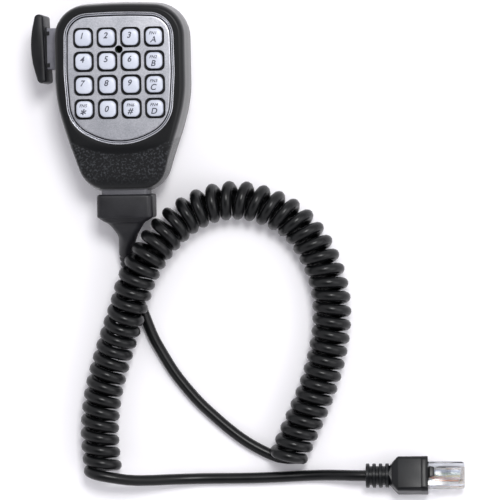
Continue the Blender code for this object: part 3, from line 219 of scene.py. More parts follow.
def symmetric(shape, inset, **steps):
    """Outline of a left-right symmetric shape given by its right half's corners and its two apexes, in mm."""
    right, top, bottom = shape
    left = [(-x, y, r) for x, y, r in reversed(right)]
    return rounded_outline(np.array([*right, top, *left, bottom]) * MM, inset, **steps)


def case_outline(inset=0.0):
    """The case's widest outline, moved inwards."""
    return symmetric(CASE_CORNERS, inset, arc=10, side=6)


def wall_outline(inset=0.0):
    """Outline of a wall: the case's, whose outer part draws in sideways by up to WALL_DRAW down the chin.

    The draw falls to nothing at the face's rolled edge, and its share runs down the chin as 3 s^2 - 2 s^3."""
    wide = case_outline(inset)
    narrow = case_outline(inset + WALL_DRAW * max(0.0, 1 - inset / EDGE_ROLL))
    share = np.clip((WALL_DRAW_FROM_Y - wide[:, 1]) / WALL_DRAW_LENGTH, 0, 1)
    share = share ** 2 * (3 - 2 * share)
    return np.column_stack([wide[:, 0] + (narrow - wide)[:, 0] * share, wide[:, 1]])


def panel_outline(inset=0.0):
    """Outline of the trim ring's outer edge, moved inwards."""
    return symmetric(PANEL_CORNERS, inset, arc=10, side=6)


def rectangle(half_x, half_y, radius, centre=(0.0, 0.0), arc=6, side=2):
    """Outline of a rectangle with round corners."""
    radius = min(radius, 0.98 * half_x, 0.98 * half_y)
    corners = ((half_x, -half_y, radius), (half_x, half_y, radius), (-half_x, half_y, radius),
               (-half_x, -half_y, radius))
    return rounded_outline(corners, 0.0, arc, side) + np.array(centre)


def circle(radius, centre=(0.0, 0.0), steps=40):
    """Points at radius times (cosine, sine) of evenly spaced angles."""
    angle = np.linspace(0, 2 * math.pi, steps, endpoint=False)
    return np.array(centre) + radius * np.stack([np.cos(angle), np.sin(angle)], 1)


def at_height(outline, z):
    """The outline as points at height z, which is one number or one for each point."""
    return np.column_stack([outline, np.broadcast_to(z, len(outline))])


def at_x(outline, x):
    """The outline's numbers as y and z, at one x."""
    return np.column_stack([np.full(len(outline), x), outline])


def at_y(outline, y):
    """The outline's numbers as x and z, at one y."""
    return np.column_stack([outline[:, 0], np.full(len(outline), y), outline[:, 1]])


def smooth_line(marks, spacing, behind=None, ahead=None):
    """Evenly spaced points on the Catmull-Rom curve through marks, in any number of dimensions.

    Between marks b and c, with a before and d after, the curve at t is half of
    2b + (c - a)t + (2a - 5b + 4c - d)t^2 + (3b - a - 3c + d)t^3."""
    marks = np.array(marks, float)
    first = 2 * marks[0] - marks[1] if behind is None else np.array(behind)
    last = 2 * marks[-1] - marks[-2] if ahead is None else np.array(ahead)
    run = np.vstack([first, marks, last])
    a, b, c, d = (run[i:len(run) - 3 + i, None] for i in range(4))
    t = np.linspace(0, 1, 24, endpoint=False)[None, :, None]
    square, cube = 2 * a - 5 * b + 4 * c - d, 3 * b - a - 3 * c + d
    fine = 0.5 * (2 * b + (c - a) * t + square * t ** 2 + cube * t ** 3)
    fine = np.vstack([fine.reshape(-1, marks.shape[1]), marks[-1]])
    length = np.concatenate([[0], np.cumsum(np.linalg.norm(np.diff(fine, axis=0), axis=1))])
    even = np.linspace(0, length[-1], max(3, round(length[-1] / spacing) + 1))
    return np.stack([np.interp(even, length, column) for column in fine.T], 1)


def directions(path):
    """(along, side, up) at each point of a path.

    Side is along crossed with +Z, and up is side crossed with along."""
    along = unit(np.gradient(path, axis=0))
    side = unit(np.cross(along, (0.0, 0.0, 1.0)))
    return along, side, np.cross(side, along)


def carried(path, outlines):
    """Rings: each outline's first number runs along the path's side, and its second along the path's up."""
    _, side, up = directions(path)
    outlines = np.broadcast_to(outlines, (len(path), *np.shape(outlines)[-2:]))
    return path[:, None] - side[:, None] * outlines[..., :1] + up[:, None] * outlines[..., 1:]


def skin(name, shells, finish, loop=False, sharp=32):
    """Object of closed shells. Each shell is an array of rings (ring, point, xyz) joined by quads.

    With loop the last ring joins the first, and otherwise each end ring is closed by one face. A shell whose
    signed volume, a sixth of the sum of its corner triples' determinants, is negative is turned outwards."""
    points, faces = [], []
    count = 0
    for rings in shells:
        rings = np.array(rings, float)
        index = np.arange(rings.shape[0] * rings.shape[1]).reshape(rings.shape[:2])
        low, high = (index, np.roll(index, -1, 0)) if loop else (index[:-1], index[1:])
        quads = np.stack([low, np.roll(low, -1, 1), np.roll(high, -1, 1), high], 2).reshape(-1, 4)
        flat = rings.reshape(-1, 3)
        whole = quads if loop else np.vstack([quads, fan(index[0][::-1]), fan(index[-1])])
        local = flat - flat.mean(0)
        a, b, c, d = (local[whole[:, k]] for k in range(4))
        volume = np.einsum("ij,ij->", a, np.cross(b, c)) + np.einsum("ij,ij->", a, np.cross(c, d))
        made = [list(face) for face in quads + count]
        if not loop:
            made += [list(index[0][::-1] + count), list(index[-1] + count)]
        faces += [face[::-1] for face in made] if volume < 0 else made
        points.append(flat)
        count += len(flat)
    mesh = bpy.data.meshes.new(name)
    mesh.from_pydata(np.vstack(points).tolist(), [], faces)
    return put(name, mesh, finish, sharp)


def fan(ring):
    """Quads with two equal corners, which cover a ring as triangles from its first point."""
    return np.stack([np.full(len(ring) - 2, ring[0]), ring[1:-1], ring[2:], ring[2:]], 1)


def put(name, mesh, finish, sharp=32):
    """Object from a finished mesh: smooth shading, with creases over the sharp angle in degrees."""
    mesh.name = name
    mesh.shade_smooth()
    mesh.set_sharp_from_angle(angle=math.radians(sharp))
    mesh.materials.clear()
    mesh.materials.append(finish)
    return stand(name, mesh)


def stand(name, data):
    """New object in the scene, at the origin."""
    obj = bpy.data.objects.new(name, data)
    bpy.context.scene.collection.objects.link(obj)
    return obj


def frozen(obj):
    """The object's mesh as its modifiers or its font leave it."""
    bpy.context.view_layer.update()
    return bpy.data.meshes.new_from_object(obj.evaluated_get(bpy.context.evaluated_depsgraph_get()))


def cut(obj, cutter, sharp=32):
    """Takes the cutter's shells out of the object and removes the cutter."""
    modifier = obj.modifiers.new("cut", "BOOLEAN")
    modifier.operation = "DIFFERENCE"
    modifier.solver = "EXACT"
    modifier.object = cutter
    cut_mesh = frozen(obj)
    obj.modifiers.clear()
    obj.data = cut_mesh
    cut_mesh.set_sharp_from_angle(angle=math.radians(sharp))
    bpy.data.objects.remove(cutter)
    return obj


def fit(obj, body, slot, *nodes):
    """The piece rides on the body and stands for the CAD nodes, which it hides; slot is not used."""
    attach(obj, body)
    if nodes:
        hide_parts(*nodes)
    return obj


# ---------------------------------------------------------------- finishes

NOISE, MATH, RANGE = "ShaderNodeTexNoise", "ShaderNodeMath", "ShaderNodeMapRange"
MIX, BUMP = "ShaderNodeMix", "ShaderNodeBump"
MULTIPLY, MULTIPLY_ADD = {"operation": "MULTIPLY"}, {"operation": "MULTIPLY_ADD"}
COLOURS, SMOOTH = {"data_type": "RGBA"}, {"interpolation_type": "SMOOTHSTEP"}


def tone(code):
    """Linear colour of an sRGB hex value: (c + 0.055) / 1.055 to the power 2.4, or c / 12.92 when dark."""
    part = np.array([int(code[i:i + 2], 16) for i in (0, 2, 4)]) / 255
    return (*np.where(part <= 0.04045, part / 12.92, ((part + 0.055) / 1.055) ** 2.4).tolist(), 1.0)


def add(tree, kind, settings=None, inputs=None):
    """Adds a node, sets its properties and feeds its inputs."""
    made = tree.nodes.new(kind)
    for name, value in (settings or {}).items():
        setattr(made, name, value)
    return feed(tree, made, inputs or {})


def feed(tree, node, inputs):
    """Gives each named input of the node a value or a link from another node."""
    for name, value in inputs.items():
        if isinstance(value, bpy.types.NodeSocket):
            tree.links.new(value, node.inputs[name])
        else:
            node.inputs[name].default_value = value
    return node


def material(name):
    """New material: (material, its node tree, its shader, its Object coordinates)."""
    made = bpy.data.materials.new(name)
    made.use_nodes = True
    tree = made.node_tree
    place = add(tree, "ShaderNodeTexCoord")
    return made, tree, tree.nodes["Principled BSDF"], place.outputs["Object"]


def moulded(name, dark, light, grain, relief, rough, metallic=0.0, coat=0.0, patches=9.0, gleam=0.5):
    """Finish whose tone runs from dark to light over a grain of that many metres and over broader patches.

    relief is the height of the grain in metres, rough the range of the roughness over the patches, and gleam
    the specular level, which is lower on matt black plastics."""
    made, tree, shader, place = material(name)
    fine = add(tree, NOISE, inputs={"Vector": place, "Scale": 1 / grain, "Detail": 3.0})
    broad = add(tree, NOISE, inputs={"Vector": place, "Scale": 1 / (patches * MM), "Detail": 2.0})
    both = add(tree, MATH, MULTIPLY_ADD, {0: fine.outputs["Fac"], 1: 0.6, 2: broad.outputs["Fac"]})
    share = add(tree, RANGE, inputs={"Value": both.outputs[0], "From Min": 0.5, "From Max": 1.15})
    colour = add(tree, MIX, COLOURS, {0: share.outputs[0], 6: tone(dark), 7: tone(light)})
    gloss = add(tree, RANGE, inputs={"Value": broad.outputs["Fac"], "From Min": 0.3, "From Max": 0.7,
                                     "To Min": rough[0], "To Max": rough[1]})
    bump = add(tree, BUMP, inputs={"Height": fine.outputs["Fac"], "Distance": relief, "Strength": 1.0})
    feed(tree, shader, {"Base Color": colour.outputs[2], "Roughness": gloss.outputs[0],
                        "Normal": bump.outputs[0], "Metallic": metallic, "Coat Weight": coat,
                        "Coat Roughness": 0.15, "Specular IOR Level": gleam})
    return made


def stippled_abs():
    """Moulded black ABS with a satin band round the panel and a spark-eroded chin.

    The band ends on an arc below the panel, where y less 11.6 per metre times x squared is -30 mm. Pits and
    light specks of 0.9 mm, about twice the real ones so that they show, fill the chin and fade out towards the
    cord."""
    made, tree, shader, place = material("abs_moulded_stippled")
    axes = add(tree, "ShaderNodeSeparateXYZ", inputs={"Vector": place})
    square = add(tree, MATH, MULTIPLY, {0: axes.outputs["X"], 1: axes.outputs["X"]})
    arc = add(tree, MATH, MULTIPLY_ADD, {0: square.outputs[0], 1: -11.6, 2: axes.outputs["Y"]})
    below = add(tree, RANGE, SMOOTH, {"Value": arc.outputs[0], "From Min": -31.0 * MM, "From Max": -29.6 * MM,
                                      "To Min": 1.0, "To Max": 0.0})
    above = add(tree, RANGE, SMOOTH,
                {"Value": axes.outputs["Y"], "From Min": -45.0 * MM, "From Max": -38.0 * MM})
    zone = add(tree, MATH, MULTIPLY, {0: below.outputs[0], 1: above.outputs[0]})
    pits = add(tree, NOISE, inputs={"Vector": place, "Scale": 1 / (0.9 * MM), "Detail": 2.0})
    specks = add(tree, RANGE, inputs={"Value": pits.outputs["Fac"], "From Min": 0.5, "From Max": 0.68})
    shown = add(tree, MATH, MULTIPLY, {0: specks.outputs[0], 1: zone.outputs[0]})
    colour = add(tree, MIX, COLOURS, {0: shown.outputs[0], 6: tone("0C0D0F"), 7: tone("35373A")})
    satin = add(tree, NOISE, inputs={"Vector": place, "Scale": 1 / (0.4 * MM), "Detail": 2.0})
    height = add(tree, MATH, MULTIPLY_ADD, {0: shown.outputs[0], 1: 2.5, 2: satin.outputs["Fac"]})
    bump = add(tree, BUMP, inputs={"Height": height.outputs[0], "Distance": 0.02 * MM, "Strength": 1.0})
    gloss = add(tree, RANGE, inputs={"Value": zone.outputs[0], "To Min": 0.34, "To Max": 0.5})
    feed(tree, shader, {"Base Color": colour.outputs[2], "Roughness": gloss.outputs[0],
                        "Normal": bump.outputs[0], "Specular IOR Level": 0.25, "Sheen Weight": 0.3,
                        "Sheen Roughness": 0.35})
    return made


def metallic_paint():
    """Silver paint sprayed on the panel: flakes in tone and in tilt sparkle faintly under a clear coat.

    The flakes are 0.35 mm wide, several times the real ones, so that they show."""
    made, tree, shader, place = material("silver_metallic_paint")
    flakes = add(tree, "ShaderNodeTexVoronoi", inputs={"Vector": place, "Scale": 1 / (0.35 * MM)})
    cloud = add(tree, NOISE, inputs={"Vector": place, "Scale": 1 / (11 * MM), "Detail": 3.0})
    grey = add(tree, "ShaderNodeSeparateColor", inputs={"Color": flakes.outputs["Color"]})
    both = add(tree, MATH, MULTIPLY_ADD, {0: grey.outputs[0], 1: 0.45, 2: cloud.outputs["Fac"]})
    share = add(tree, RANGE, inputs={"Value": both.outputs[0], "From Min": 0.35, "From Max": 1.05})
    colour = add(tree, MIX, COLOURS, {0: share.outputs[0], 6: tone("9FA1A8"), 7: tone("C2C3C9")})
    bump = add(tree, BUMP, inputs={"Height": grey.outputs[0], "Distance": 0.006 * MM, "Strength": 1.0})
    feed(tree, shader, {"Base Color": colour.outputs[2], "Normal": bump.outputs[0], "Metallic": 0.9,
                        "Roughness": 0.38, "Coat Weight": 0.25, "Coat Roughness": 0.2})
    return made


def clear_polycarbonate():
    """Moulded clear polycarbonate: faint flow lines tilt the surface, and it is very slightly cool."""
    made, tree, shader, place = material("clear_polycarbonate")
    flow = add(tree, NOISE, inputs={"Vector": place, "Scale": 1 / (5 * MM), "Distortion": 1.5})
    bump = add(tree, BUMP, inputs={"Height": flow.outputs["Fac"], "Distance": 0.05 * MM, "Strength": 0.5})
    haze = add(tree, RANGE, inputs={"Value": flow.outputs["Fac"], "To Min": 0.1, "To Max": 0.2})
    feed(tree, shader, {"Base Color": tone("F2F5FA"), "Normal": bump.outputs[0], "Roughness": haze.outputs[0],
                        "Transmission Weight": 1.0, "IOR": 1.49})
    return made


def laminate():
    """Solder-masked circuit board: a green mask over raised copper lines, in rows 2 mm apart."""
    made, tree, shader, place = material("solder_masked_laminate")
    tracks = add(tree, "ShaderNodeTexBrick", {"offset": 0.35},
                 {"Vector": place, "Scale": 1 / (4 * MM), "Mortar Size": 0.03, "Brick Width": 1.1,
                  "Row Height": 0.5, "Color1": tone("1F5B36"), "Color2": tone("23633C"),
                  "Mortar": tone("3E8A54")})
    weave = add(tree, NOISE, inputs={"Vector": place, "Scale": 1 / (0.5 * MM)})
    bump = add(tree, BUMP, inputs={"Height": tracks.outputs["Fac"], "Distance": 0.035 * MM, "Strength": 1.0})
    gloss = add(tree, RANGE, inputs={"Value": weave.outputs["Fac"], "To Min": 0.22, "To Max": 0.45})
    feed(tree, shader, {"Base Color": tracks.outputs["Color"], "Roughness": gloss.outputs[0],
                        "Normal": bump.outputs[0]})
    return made


CASE_ABS = stippled_abs()
# Rear shell: spark-eroded all over, so it looks matt and slightly grey; grain drawn at 0.7 mm to show.
REAR_ABS = moulded("abs_spark_eroded", "131416", "222326", 0.7 * MM, 0.03 * MM, (0.4, 0.52), gleam=0.45)
SILVER_PAINT = metallic_paint()
# Chromed ABS trim: mirror-like, with the faint orange peel of plated plastic.
CHROME = moulded("chrome_plated_abs", "B9BBC0", "D4D5DA", 2.5 * MM, 0.002 * MM, (0.16, 0.26), metallic=1.0)
# Keys: silicone rubber sprayed bluish white, satin, with a fine matt grain.
KEY_WHITE = moulded("silicone_sprayed_white", "B6BBC8", "CBCFDA", 0.6 * MM, 0.006 * MM, (0.32, 0.45), coat=0.1)
# Key feet and mat: moulded black silicone rubber, dull, so that the gaps round the caps read black.
KEY_BLACK = moulded("silicone_black", "0C0C0E", "161619", 0.5 * MM, 0.01 * MM, (0.55, 0.7), gleam=0.3)
# Legends: pad-printed ink, flat and a little grey.
LEGEND_INK = moulded("pad_printed_ink", "33353F", "444654", 0.3 * MM, 0.002 * MM, (0.5, 0.65))
# Push-to-talk bar: black rubber-like ABS with a soft satin skin.
PTT_BLACK = moulded("abs_satin_black", "0E0F11", "1A1B1E", 0.6 * MM, 0.01 * MM, (0.32, 0.42), gleam=0.3)
# Stem: undyed grey acetal, waxy and a little uneven in tone.
ACETAL_GREY = moulded("acetal_grey", "6A6A73", "81818A", 1.2 * MM, 0.012 * MM, (0.38, 0.5), patches=6.0)
# Bush: moulded PVC, matt with a fine blast texture; the boot's is blacker and a little smoother.
BUSH_PVC = moulded("pvc_moulded_grey_black", "131316", "212125", 0.7 * MM, 0.014 * MM, (0.38, 0.5), gleam=0.35)
# Collar between bush and case: matt moulded PVC coloured lighter than the bush. The pale strip under the
# case's rim is a painted highlight for the light it catches where it slopes.
COLLAR_PVC_PAINTED_HIGHLIGHT = moulded("pvc_collar_painted_highlight", "434348", "5C5C61", 0.6 * MM, 0.02 * MM, (0.4, 0.5))
BOOT_PVC = moulded("pvc_moulded_black", "0A0B0D", "131518", 0.7 * MM, 0.012 * MM, (0.32, 0.42), gleam=0.28)
# Cord: extruded black PVC, glossy with a faint drawn ripple.
CORD_PVC = moulded("pvc_extruded_gloss", "070809", "0D0E0F", 1.4 * MM, 0.01 * MM, (0.27, 0.35), gleam=0.3)
CLEAR = clear_polycarbonate()
# Screws, button, spring and capsule: nickel-plated steel, bright, slightly warm and faintly uneven.
NICKEL = moulded("nickel_plated_steel", "B4B0A8", "CFCBC4", 0.8 * MM, 0.008 * MM, (0.2, 0.34), metallic=1.0)
# Contacts: gold-plated bronze, a warm yellow glint through the clear plug.
GOLD = moulded("gold_plated_bronze", "C9A04A", "E0BC6A", 0.5 * MM, 0.004 * MM, (0.2, 0.32), metallic=1.0)
LAMINATE = laminate()
# Chip and switch: transfer-moulded epoxy, dark, dull and slightly grainy.
EPOXY = moulded("epoxy_package_black", "141416", "232326", 0.4 * MM, 0.01 * MM, (0.5, 0.65))
# Microphone's cover: black felt, quite matt.
FELT = moulded("felt_black", "08080A", "121214", 0.3 * MM, 0.05 * MM, (0.85, 0.95), gleam=0.1)
# Socket, inner plug and plunger: undyed moulded nylon, a waxy cream.
NYLON = moulded("nylon_natural", "D8D4C6", "E8E5DA", 0.9 * MM, 0.01 * MM, (0.38, 0.5))

# ---------------------------------------------------------------- camera, floor and light

VIEW_TILT_X = math.radians(5.0)
VIEW_TILT_Y = math.radians(2.5)
VIEW_ROLL = math.radians(1.0)
VIEW_DISTANCE = 1.1
VIEW_TARGET = np.array((54.295, -75.186, 0.0)) * MM
LENS_MM = 172.6
SENSOR_MM = 36.0
# Direction of the dim opening in the tent, and half the width of the table in metres.
OPENING = (-0.136, -0.195, 0.971)
FLOOR_HALF = 3.0


def set_matrix(obj, right, up, back, place):
    """Stands the object at the place with its own x, y and z axes along right, up and back."""
    matrix = np.eye(4)
    matrix[:3, 0], matrix[:3, 1], matrix[:3, 2], matrix[:3, 3] = right, up, back, place
    obj.matrix_world = Matrix(matrix.tolist())


def make_camera():
    """Long lens above the object, tilted a little to its right and to its top, and rolled a little."""
    back = unit(np.array((math.tan(VIEW_TILT_X), math.tan(VIEW_TILT_Y), 1.0)))
    right = unit(np.cross(-back, (math.sin(VIEW_ROLL), math.cos(VIEW_ROLL), 0.0)))
    data = bpy.data.cameras.new("camera")
    data.lens = LENS_MM
    data.sensor_width = SENSOR_MM
    camera = stand("camera", data)
    set_matrix(camera, right, np.cross(right, -back), back, VIEW_TARGET + VIEW_DISTANCE * back)
    bpy.context.scene.camera = camera


def make_lamp(name, place, size, power, colour="FFFFFF"):
    """Softbox of a given (width, height) and power in watts that looks at the middle of the object."""
    data = bpy.data.lights.new(name, "AREA")
    data.shape = "RECTANGLE"
    data.size, data.size_y = size
    data.energy = power
    data.color = tone(colour)[:3]
    lamp = stand(name, data)
    back = unit(np.array(place) - VIEW_TARGET)
    right = unit(np.cross((0.0, 1.0, 0.0), back))
    set_matrix(lamp, right, np.cross(back, right), back, place)


def make_floor():
    """White acrylic table: plain, pale and matt, with a barely visible tooth."""
    made, tree, shader, place = material("table_white_acrylic")
    tooth = add(tree, NOISE, inputs={"Vector": place, "Scale": 1 / (30 * MM)})
    colour = add(tree, MIX, COLOURS, {0: tooth.outputs["Fac"], 6: tone("FAF9FC"), 7: tone("FDFCFE")})
    feed(tree, shader, {"Base Color": colour.outputs[2], "Roughness": 0.9, "Specular IOR Level": 0.1})
    half = FLOOR_HALF
    mesh = bpy.data.meshes.new("table")
    corners = [(-half, -half, 0), (half, -half, 0), (half, half, 0), (-half, half, 0)]
    mesh.from_pydata(corners, [], [(0, 1, 2, 3)])
    put("table", mesh, made)


def make_world():
    """White tent round the table with a dim opening overhead, off to the cord's side.

    The tent's white fades to grey where the direction's cosine with the opening's own direction nears 1."""
    world = bpy.data.worlds.new("studio")
    world.use_nodes = True
    tree = world.node_tree
    way = add(tree, "ShaderNodeTexCoord")
    near = add(tree, "ShaderNodeVectorMath", {"operation": "DOT_PRODUCT"},
               {0: way.outputs["Generated"], 1: OPENING})
    share = add(tree, RANGE, SMOOTH, {"Value": near.outputs["Value"], "From Min": 0.82, "From Max": 0.99})
    colour = add(tree, MIX, COLOURS, {0: share.outputs[0], 6: tone("FBFAFF"), 7: tone("4A4A50")})
    feed(tree, tree.nodes["Background"], {"Color": colour.outputs[2], "Strength": 0.9})
    bpy.context.scene.world = world
    bpy.context.scene.view_settings.view_transform = "Standard"


make_camera()
make_floor()
make_world()
make_lamp("softbox_key", (0.25, 0.35, 1.05), (0.3, 0.3), 7.0)
make_lamp("softbox_side", (0.95, -0.1, 0.7), (0.7, 0.8), 2.5)

# ---------------------------------------------------------------- cord


def coil_points():
    """Left-handed helix round the coil's axis.

    Each point is axis + radius * ((side + along * tan lean) * cos a + up * sin a), where the angle a starts at
    the bottom, ends at the top and grows by one turn for each local pitch."""
    axis = np.array(COIL_ROUTE) * MM + (0.0, 0.0, COIL_LIFT)
    axis[0] -= unit(axis[1] - axis[0]) * COIL_PAST_ENDS[0]
    axis[-1] += unit(axis[-1] - axis[-2]) * COIL_PAST_ENDS[1]
    count = round(COIL_TURNS * POINTS_A_TURN)
    path = smooth_line(axis, 0.5 * MM)
    share = np.linspace(0, 1, len(path))
    even = np.linspace(0, 1, count + 1)
    along, side, up = directions(path)
    lean = np.radians(np.interp(share, *np.array(COIL_LEAN).T))
    side = side + along * np.tan(lean)[:, None]
    pitch = np.interp(share, *np.array(COIL_PITCH).T)
    turned = np.concatenate([[0], np.cumsum(1 / (pitch[1:] + pitch[:-1]))])
    carried_along = np.hstack([path, side, up])
    at = np.stack([np.interp(even, turned / turned[-1], column) for column in carried_along.T], 1)
    angle = (2 * math.pi * COIL_TURNS * even - math.pi / 2)[:, None]
    return at[:, :3] + COIL_RADIUS * (at[:, 3:6] * np.cos(angle) + at[:, 6:] * np.sin(angle))


def make_cord():
    """One cord from inside the bush's tail to inside the boot: a lead, the coil and a lead, as one spline."""
    coil = coil_points()
    start = np.array(TAIL_ROUTE[-2]) * MM
    first = smooth_line(np.vstack([start, np.array(LEAD_1_ROUTE) * MM, coil[0]]), 4 * MM, ahead=coil[3])
    last = smooth_line(np.vstack([coil[-1], np.array(LEAD_2_ROUTE) * MM]), 4 * MM, behind=coil[-4])
    path = np.vstack([first[:-1], coil, last[1:]])
    data = bpy.data.curves.new("cord", "CURVE")
    data.dimensions = "3D"
    data.bevel_depth = CORD_DIAMETER / 2
    data.bevel_resolution = 4
    data.use_fill_caps = True
    spline = data.splines.new("POLY")
    spline.points.add(len(path) - 1)
    spline.points.foreach_set("co", np.column_stack([path, np.ones(len(path))]).ravel())
    spline.use_smooth = True
    data.materials.append(CORD_PVC)
    cord = stand("curly_cord", data)
    fit(cord, "case", "cord_jacket", "cord_lead_mic", "cord_coil", "cord_lead_plug")
    return cord, float(np.linalg.norm(np.diff(path, axis=0), axis=1).sum())


CORD, CORD_LENGTH = make_cord()

# ---------------------------------------------------------------- case


def chin(rings):
    """Lowers each point towards the split by up to CHIN_DROP of its height, smoothly down the chin.

    The share runs from 0 at the panel's frame to 1 at the case's bottom, as 3 s^2 - 2 s^3."""
    start = PANEL_BOTTOM_Y - TRIM_WIDTH
    share = np.clip((start - rings[..., 1]) / (start - CASE_BOTTOM_Y), 0, 1)
    drop = CHIN_DROP * share ** 2 * (3 - 2 * share)
    made = rings.copy()
    made[..., 2] = SPLIT_Z + (rings[..., 2] - SPLIT_Z) * (1 - drop)
    return made


def make_front_shell():
    """Front shell: rings go from the cavity down its wall, up the drafted outside, over the rolled edge,
    across the face to the panel's bed and down into it, and so back to the first ring.

    Each row of draft and inside is (inset, height) in mm."""
    draft = np.array(((0.0, 18.15), (0.32, 22.5), (0.9, 27.5), (1.3, 30.4), (2.1, 32.1), (3.4, 33.0))) * MM
    outside = smooth_line(draft, 0.55 * MM, ahead=np.array((5.0, 33.05)) * MM)
    inside = np.array(((5.2, 30.0), (3.6, 28.6), (2.6, 23.0), (2.2, 18.15))) * MM
    edge, bed, window = case_outline(EDGE_ROLL), panel_outline(-GAP), panel_outline(CASE_WALL)
    face = [at_height(edge + (bed - edge) * share, FACE_Z) for share in np.linspace(0, 1, 16)[1:]]
    rings = [at_height(window, CEILING_Z)]
    rings += [at_height(case_outline(inset), z) for inset, z in inside]
    rings += [at_height(wall_outline(inset), z) for inset, z in outside]
    rings = [chin(np.array(ring)) for ring in rings] + [chin(ring) for ring in face[:-1]]
    rings += [at_height(bed, FACE_Z - 0.1 * MM), at_height(bed, RECESS_Z), at_height(window, RECESS_Z)]
    shell = skin("front_shell", [rings], CASE_ABS, loop=True, sharp=40)
    cut(shell, shared_openings(), sharp=40)
    return fit(shell, "case", "case_abs", "front_case")


def shared_openings():
    """Cutter for both shells: the collar's opening at the bottom and the stem's at the side."""
    collar = rectangle(BUSH_COLLAR[0] + GAP, BUSH_COLLAR[1] + GAP, 2 * MM, (0.0, BUSH_Z))
    ends = (CASE_BOTTOM_Y - 5 * MM, BUSH_INNER_Y)
    through = np.stack([at_y(collar, y) for y in ends])
    stem = rectangle(PTT_STEM_LENGTH / 2 + GAP, PTT_STEM_HEIGHT / 2 + GAP, 0.5 * MM, (PTT_CENTRE_Y, SPLIT_Z))
    across = np.stack([at_x(stem, x) for x in (-CASE_HALF_WIDTH - 3 * MM, -25.5 * MM)])
    return skin("openings", [through, across], CASE_ABS)


def make_rear_shell():
    """Rear shell: drafted wall and a rolled edge on to a flat back, with a counterbore for each screw.

    Rows are (inset, height) in mm for the walls, and (radius, height) for the bores."""
    draft = np.array(((0.0, 17.85), (0.35, 13.6), (0.8, 9.5), (1.8, 6.4), (4.0, 5.0))) * MM
    outside = smooth_line(draft, 0.55 * MM, ahead=np.array((6.0, 5.0)) * MM)
    rings = [at_height(case_outline(5.2 * MM), BACK_Z + CASE_WALL)]
    rings += [at_height(case_outline(inset), z) for inset, z in np.array(((3.4, 8.4), (2.2, 17.85))) * MM]
    rings += [at_height(wall_outline(inset), z) for inset, z in outside]
    shell = skin("rear_shell", [rings], REAR_ABS, sharp=40)
    cut(shell, shared_openings(), sharp=40)
    levels = np.array(((3.0, 3.5), (3.0, 5.0), (2.4, 5.35), (2.4, 7.9))) * MM
    bores = [[at_height(circle(r, place), z) for r, z in levels] for place in CASE_SCREWS]
    cut(shell, skin("bores", bores, REAR_ABS), sharp=40)
    return fit(shell, "case", "case_abs", "rear_case")


def make_hang_up_button():
    """Turned steel button: (radius, height) in mm of a screw recess, a head with a rolled rim and a neck."""
    profile = np.array(((0.05, 0.45), (1.6, 0.45), (1.9, 0.1), (2.4, 0.0), (5.2, 0.0), (6.1, 0.12), (6.5, 0.5),
                        (6.6, 1.1), (6.45, 1.85), (6.0, 2.25), (4.8, 2.35), (4.2, 2.9), (4.2, 4.95),
                        (0.05, 4.95))) * MM
    rings = [at_height(circle(r, steps=64), z) for r, z in profile]
    return fit(skin("hang_up_stud", [rings], NICKEL, sharp=50), "case", "plated_steel", "hang_up_button")


make_front_shell()
make_rear_shell()
make_hang_up_button()

# ---------------------------------------------------------------- panel and keys


def key_places():
    """(name, x, y) of each key, left to right from the top row."""
    return [(name, (column - 1.5) * KEY_PITCH, KEY_CENTRE_Y + (1.5 - row) * KEY_PITCH)
            for row, names in enumerate(KEY_ROWS) for column, name in enumerate(names)]


def make_panel():
    """Painted plate with eased edges and an eased hole for every key and for the sound.

    Its face is very slightly crowned: lower by PANEL_CROWN at the top and bottom edges than in the middle, by
    the square of the distance along y. Rows of levels and steps are (inset or outset, height) in mm."""
    levels = np.array(((0.0, 31.6), (0.0, 32.7), (0.06, 32.83), (0.2, 32.9))) * MM
    edge = TRIM_WIDTH + 0.6 * MM
    rings = [at_height(panel_outline(edge + inset), z) for inset, z in levels]
    flat = rings[-1][:, :2]
    rings += [at_height(flat * share + (0.0, PANEL_CROWN_Y * (1 - share)), PANEL_TOP_Z)
              for share in (0.988, *np.linspace(0.96, 0.04, 24))]
    rings = np.array(rings)
    rings[1:, :, 2] -= PANEL_CROWN * ((rings[1:, :, 1] - PANEL_CROWN_Y) / PANEL_HALF_LENGTH) ** 2
    panel = skin("keypad_plate", [rings], SILVER_PAINT)
    steps = np.array(((0.0, 30.9), (0.0, 32.72), (0.16, 32.92), (0.5, 33.4))) * MM
    holes = [[at_height(rectangle(KEY_HOLE / 2 + out, KEY_HOLE / 2 + out, KEY_CORNER + out, (x, y)), z)
              for out, z in steps] for _, x, y in key_places()]
    holes.append([at_height(circle(MIC_HOLE_RADIUS + out, (0.0, MIC_Y)), z) for out, z in steps])
    cut(panel, skin("holes", holes, KEY_BLACK))
    return fit(panel, "case", "panel_paint", "keypad_panel")


def make_trim():
    """Chromed ring: (inset, height) in mm of two rounded beads and a groove, carried round the panel."""
    profile = np.array(((0.0, 31.6), (0.0, 32.9), (-0.25, 33.05), (-0.2, 33.22), (-0.02, 33.33), (0.16, 33.25),
                        (0.24, 32.9), (0.3, 32.7), (0.52, 32.7), (0.58, 32.9), (0.66, 33.22), (0.82, 33.3),
                        (0.98, 33.2), (1.05, 32.95), (1.05, 31.6))) * MM
    rings = [at_height(panel_outline(inset), z) for inset, z in profile]
    return fit(skin("panel_ring", [rings], CHROME, loop=True, sharp=50), "case", "trim_chrome", "panel_trim")


def crown(x, y):
    """Height of a cap's top: its highest point, less CAP_CROWN per mm times the squared distance from it."""
    return CAP_TOP_Z - CAP_CROWN * (x ** 2 + y ** 2) / MM


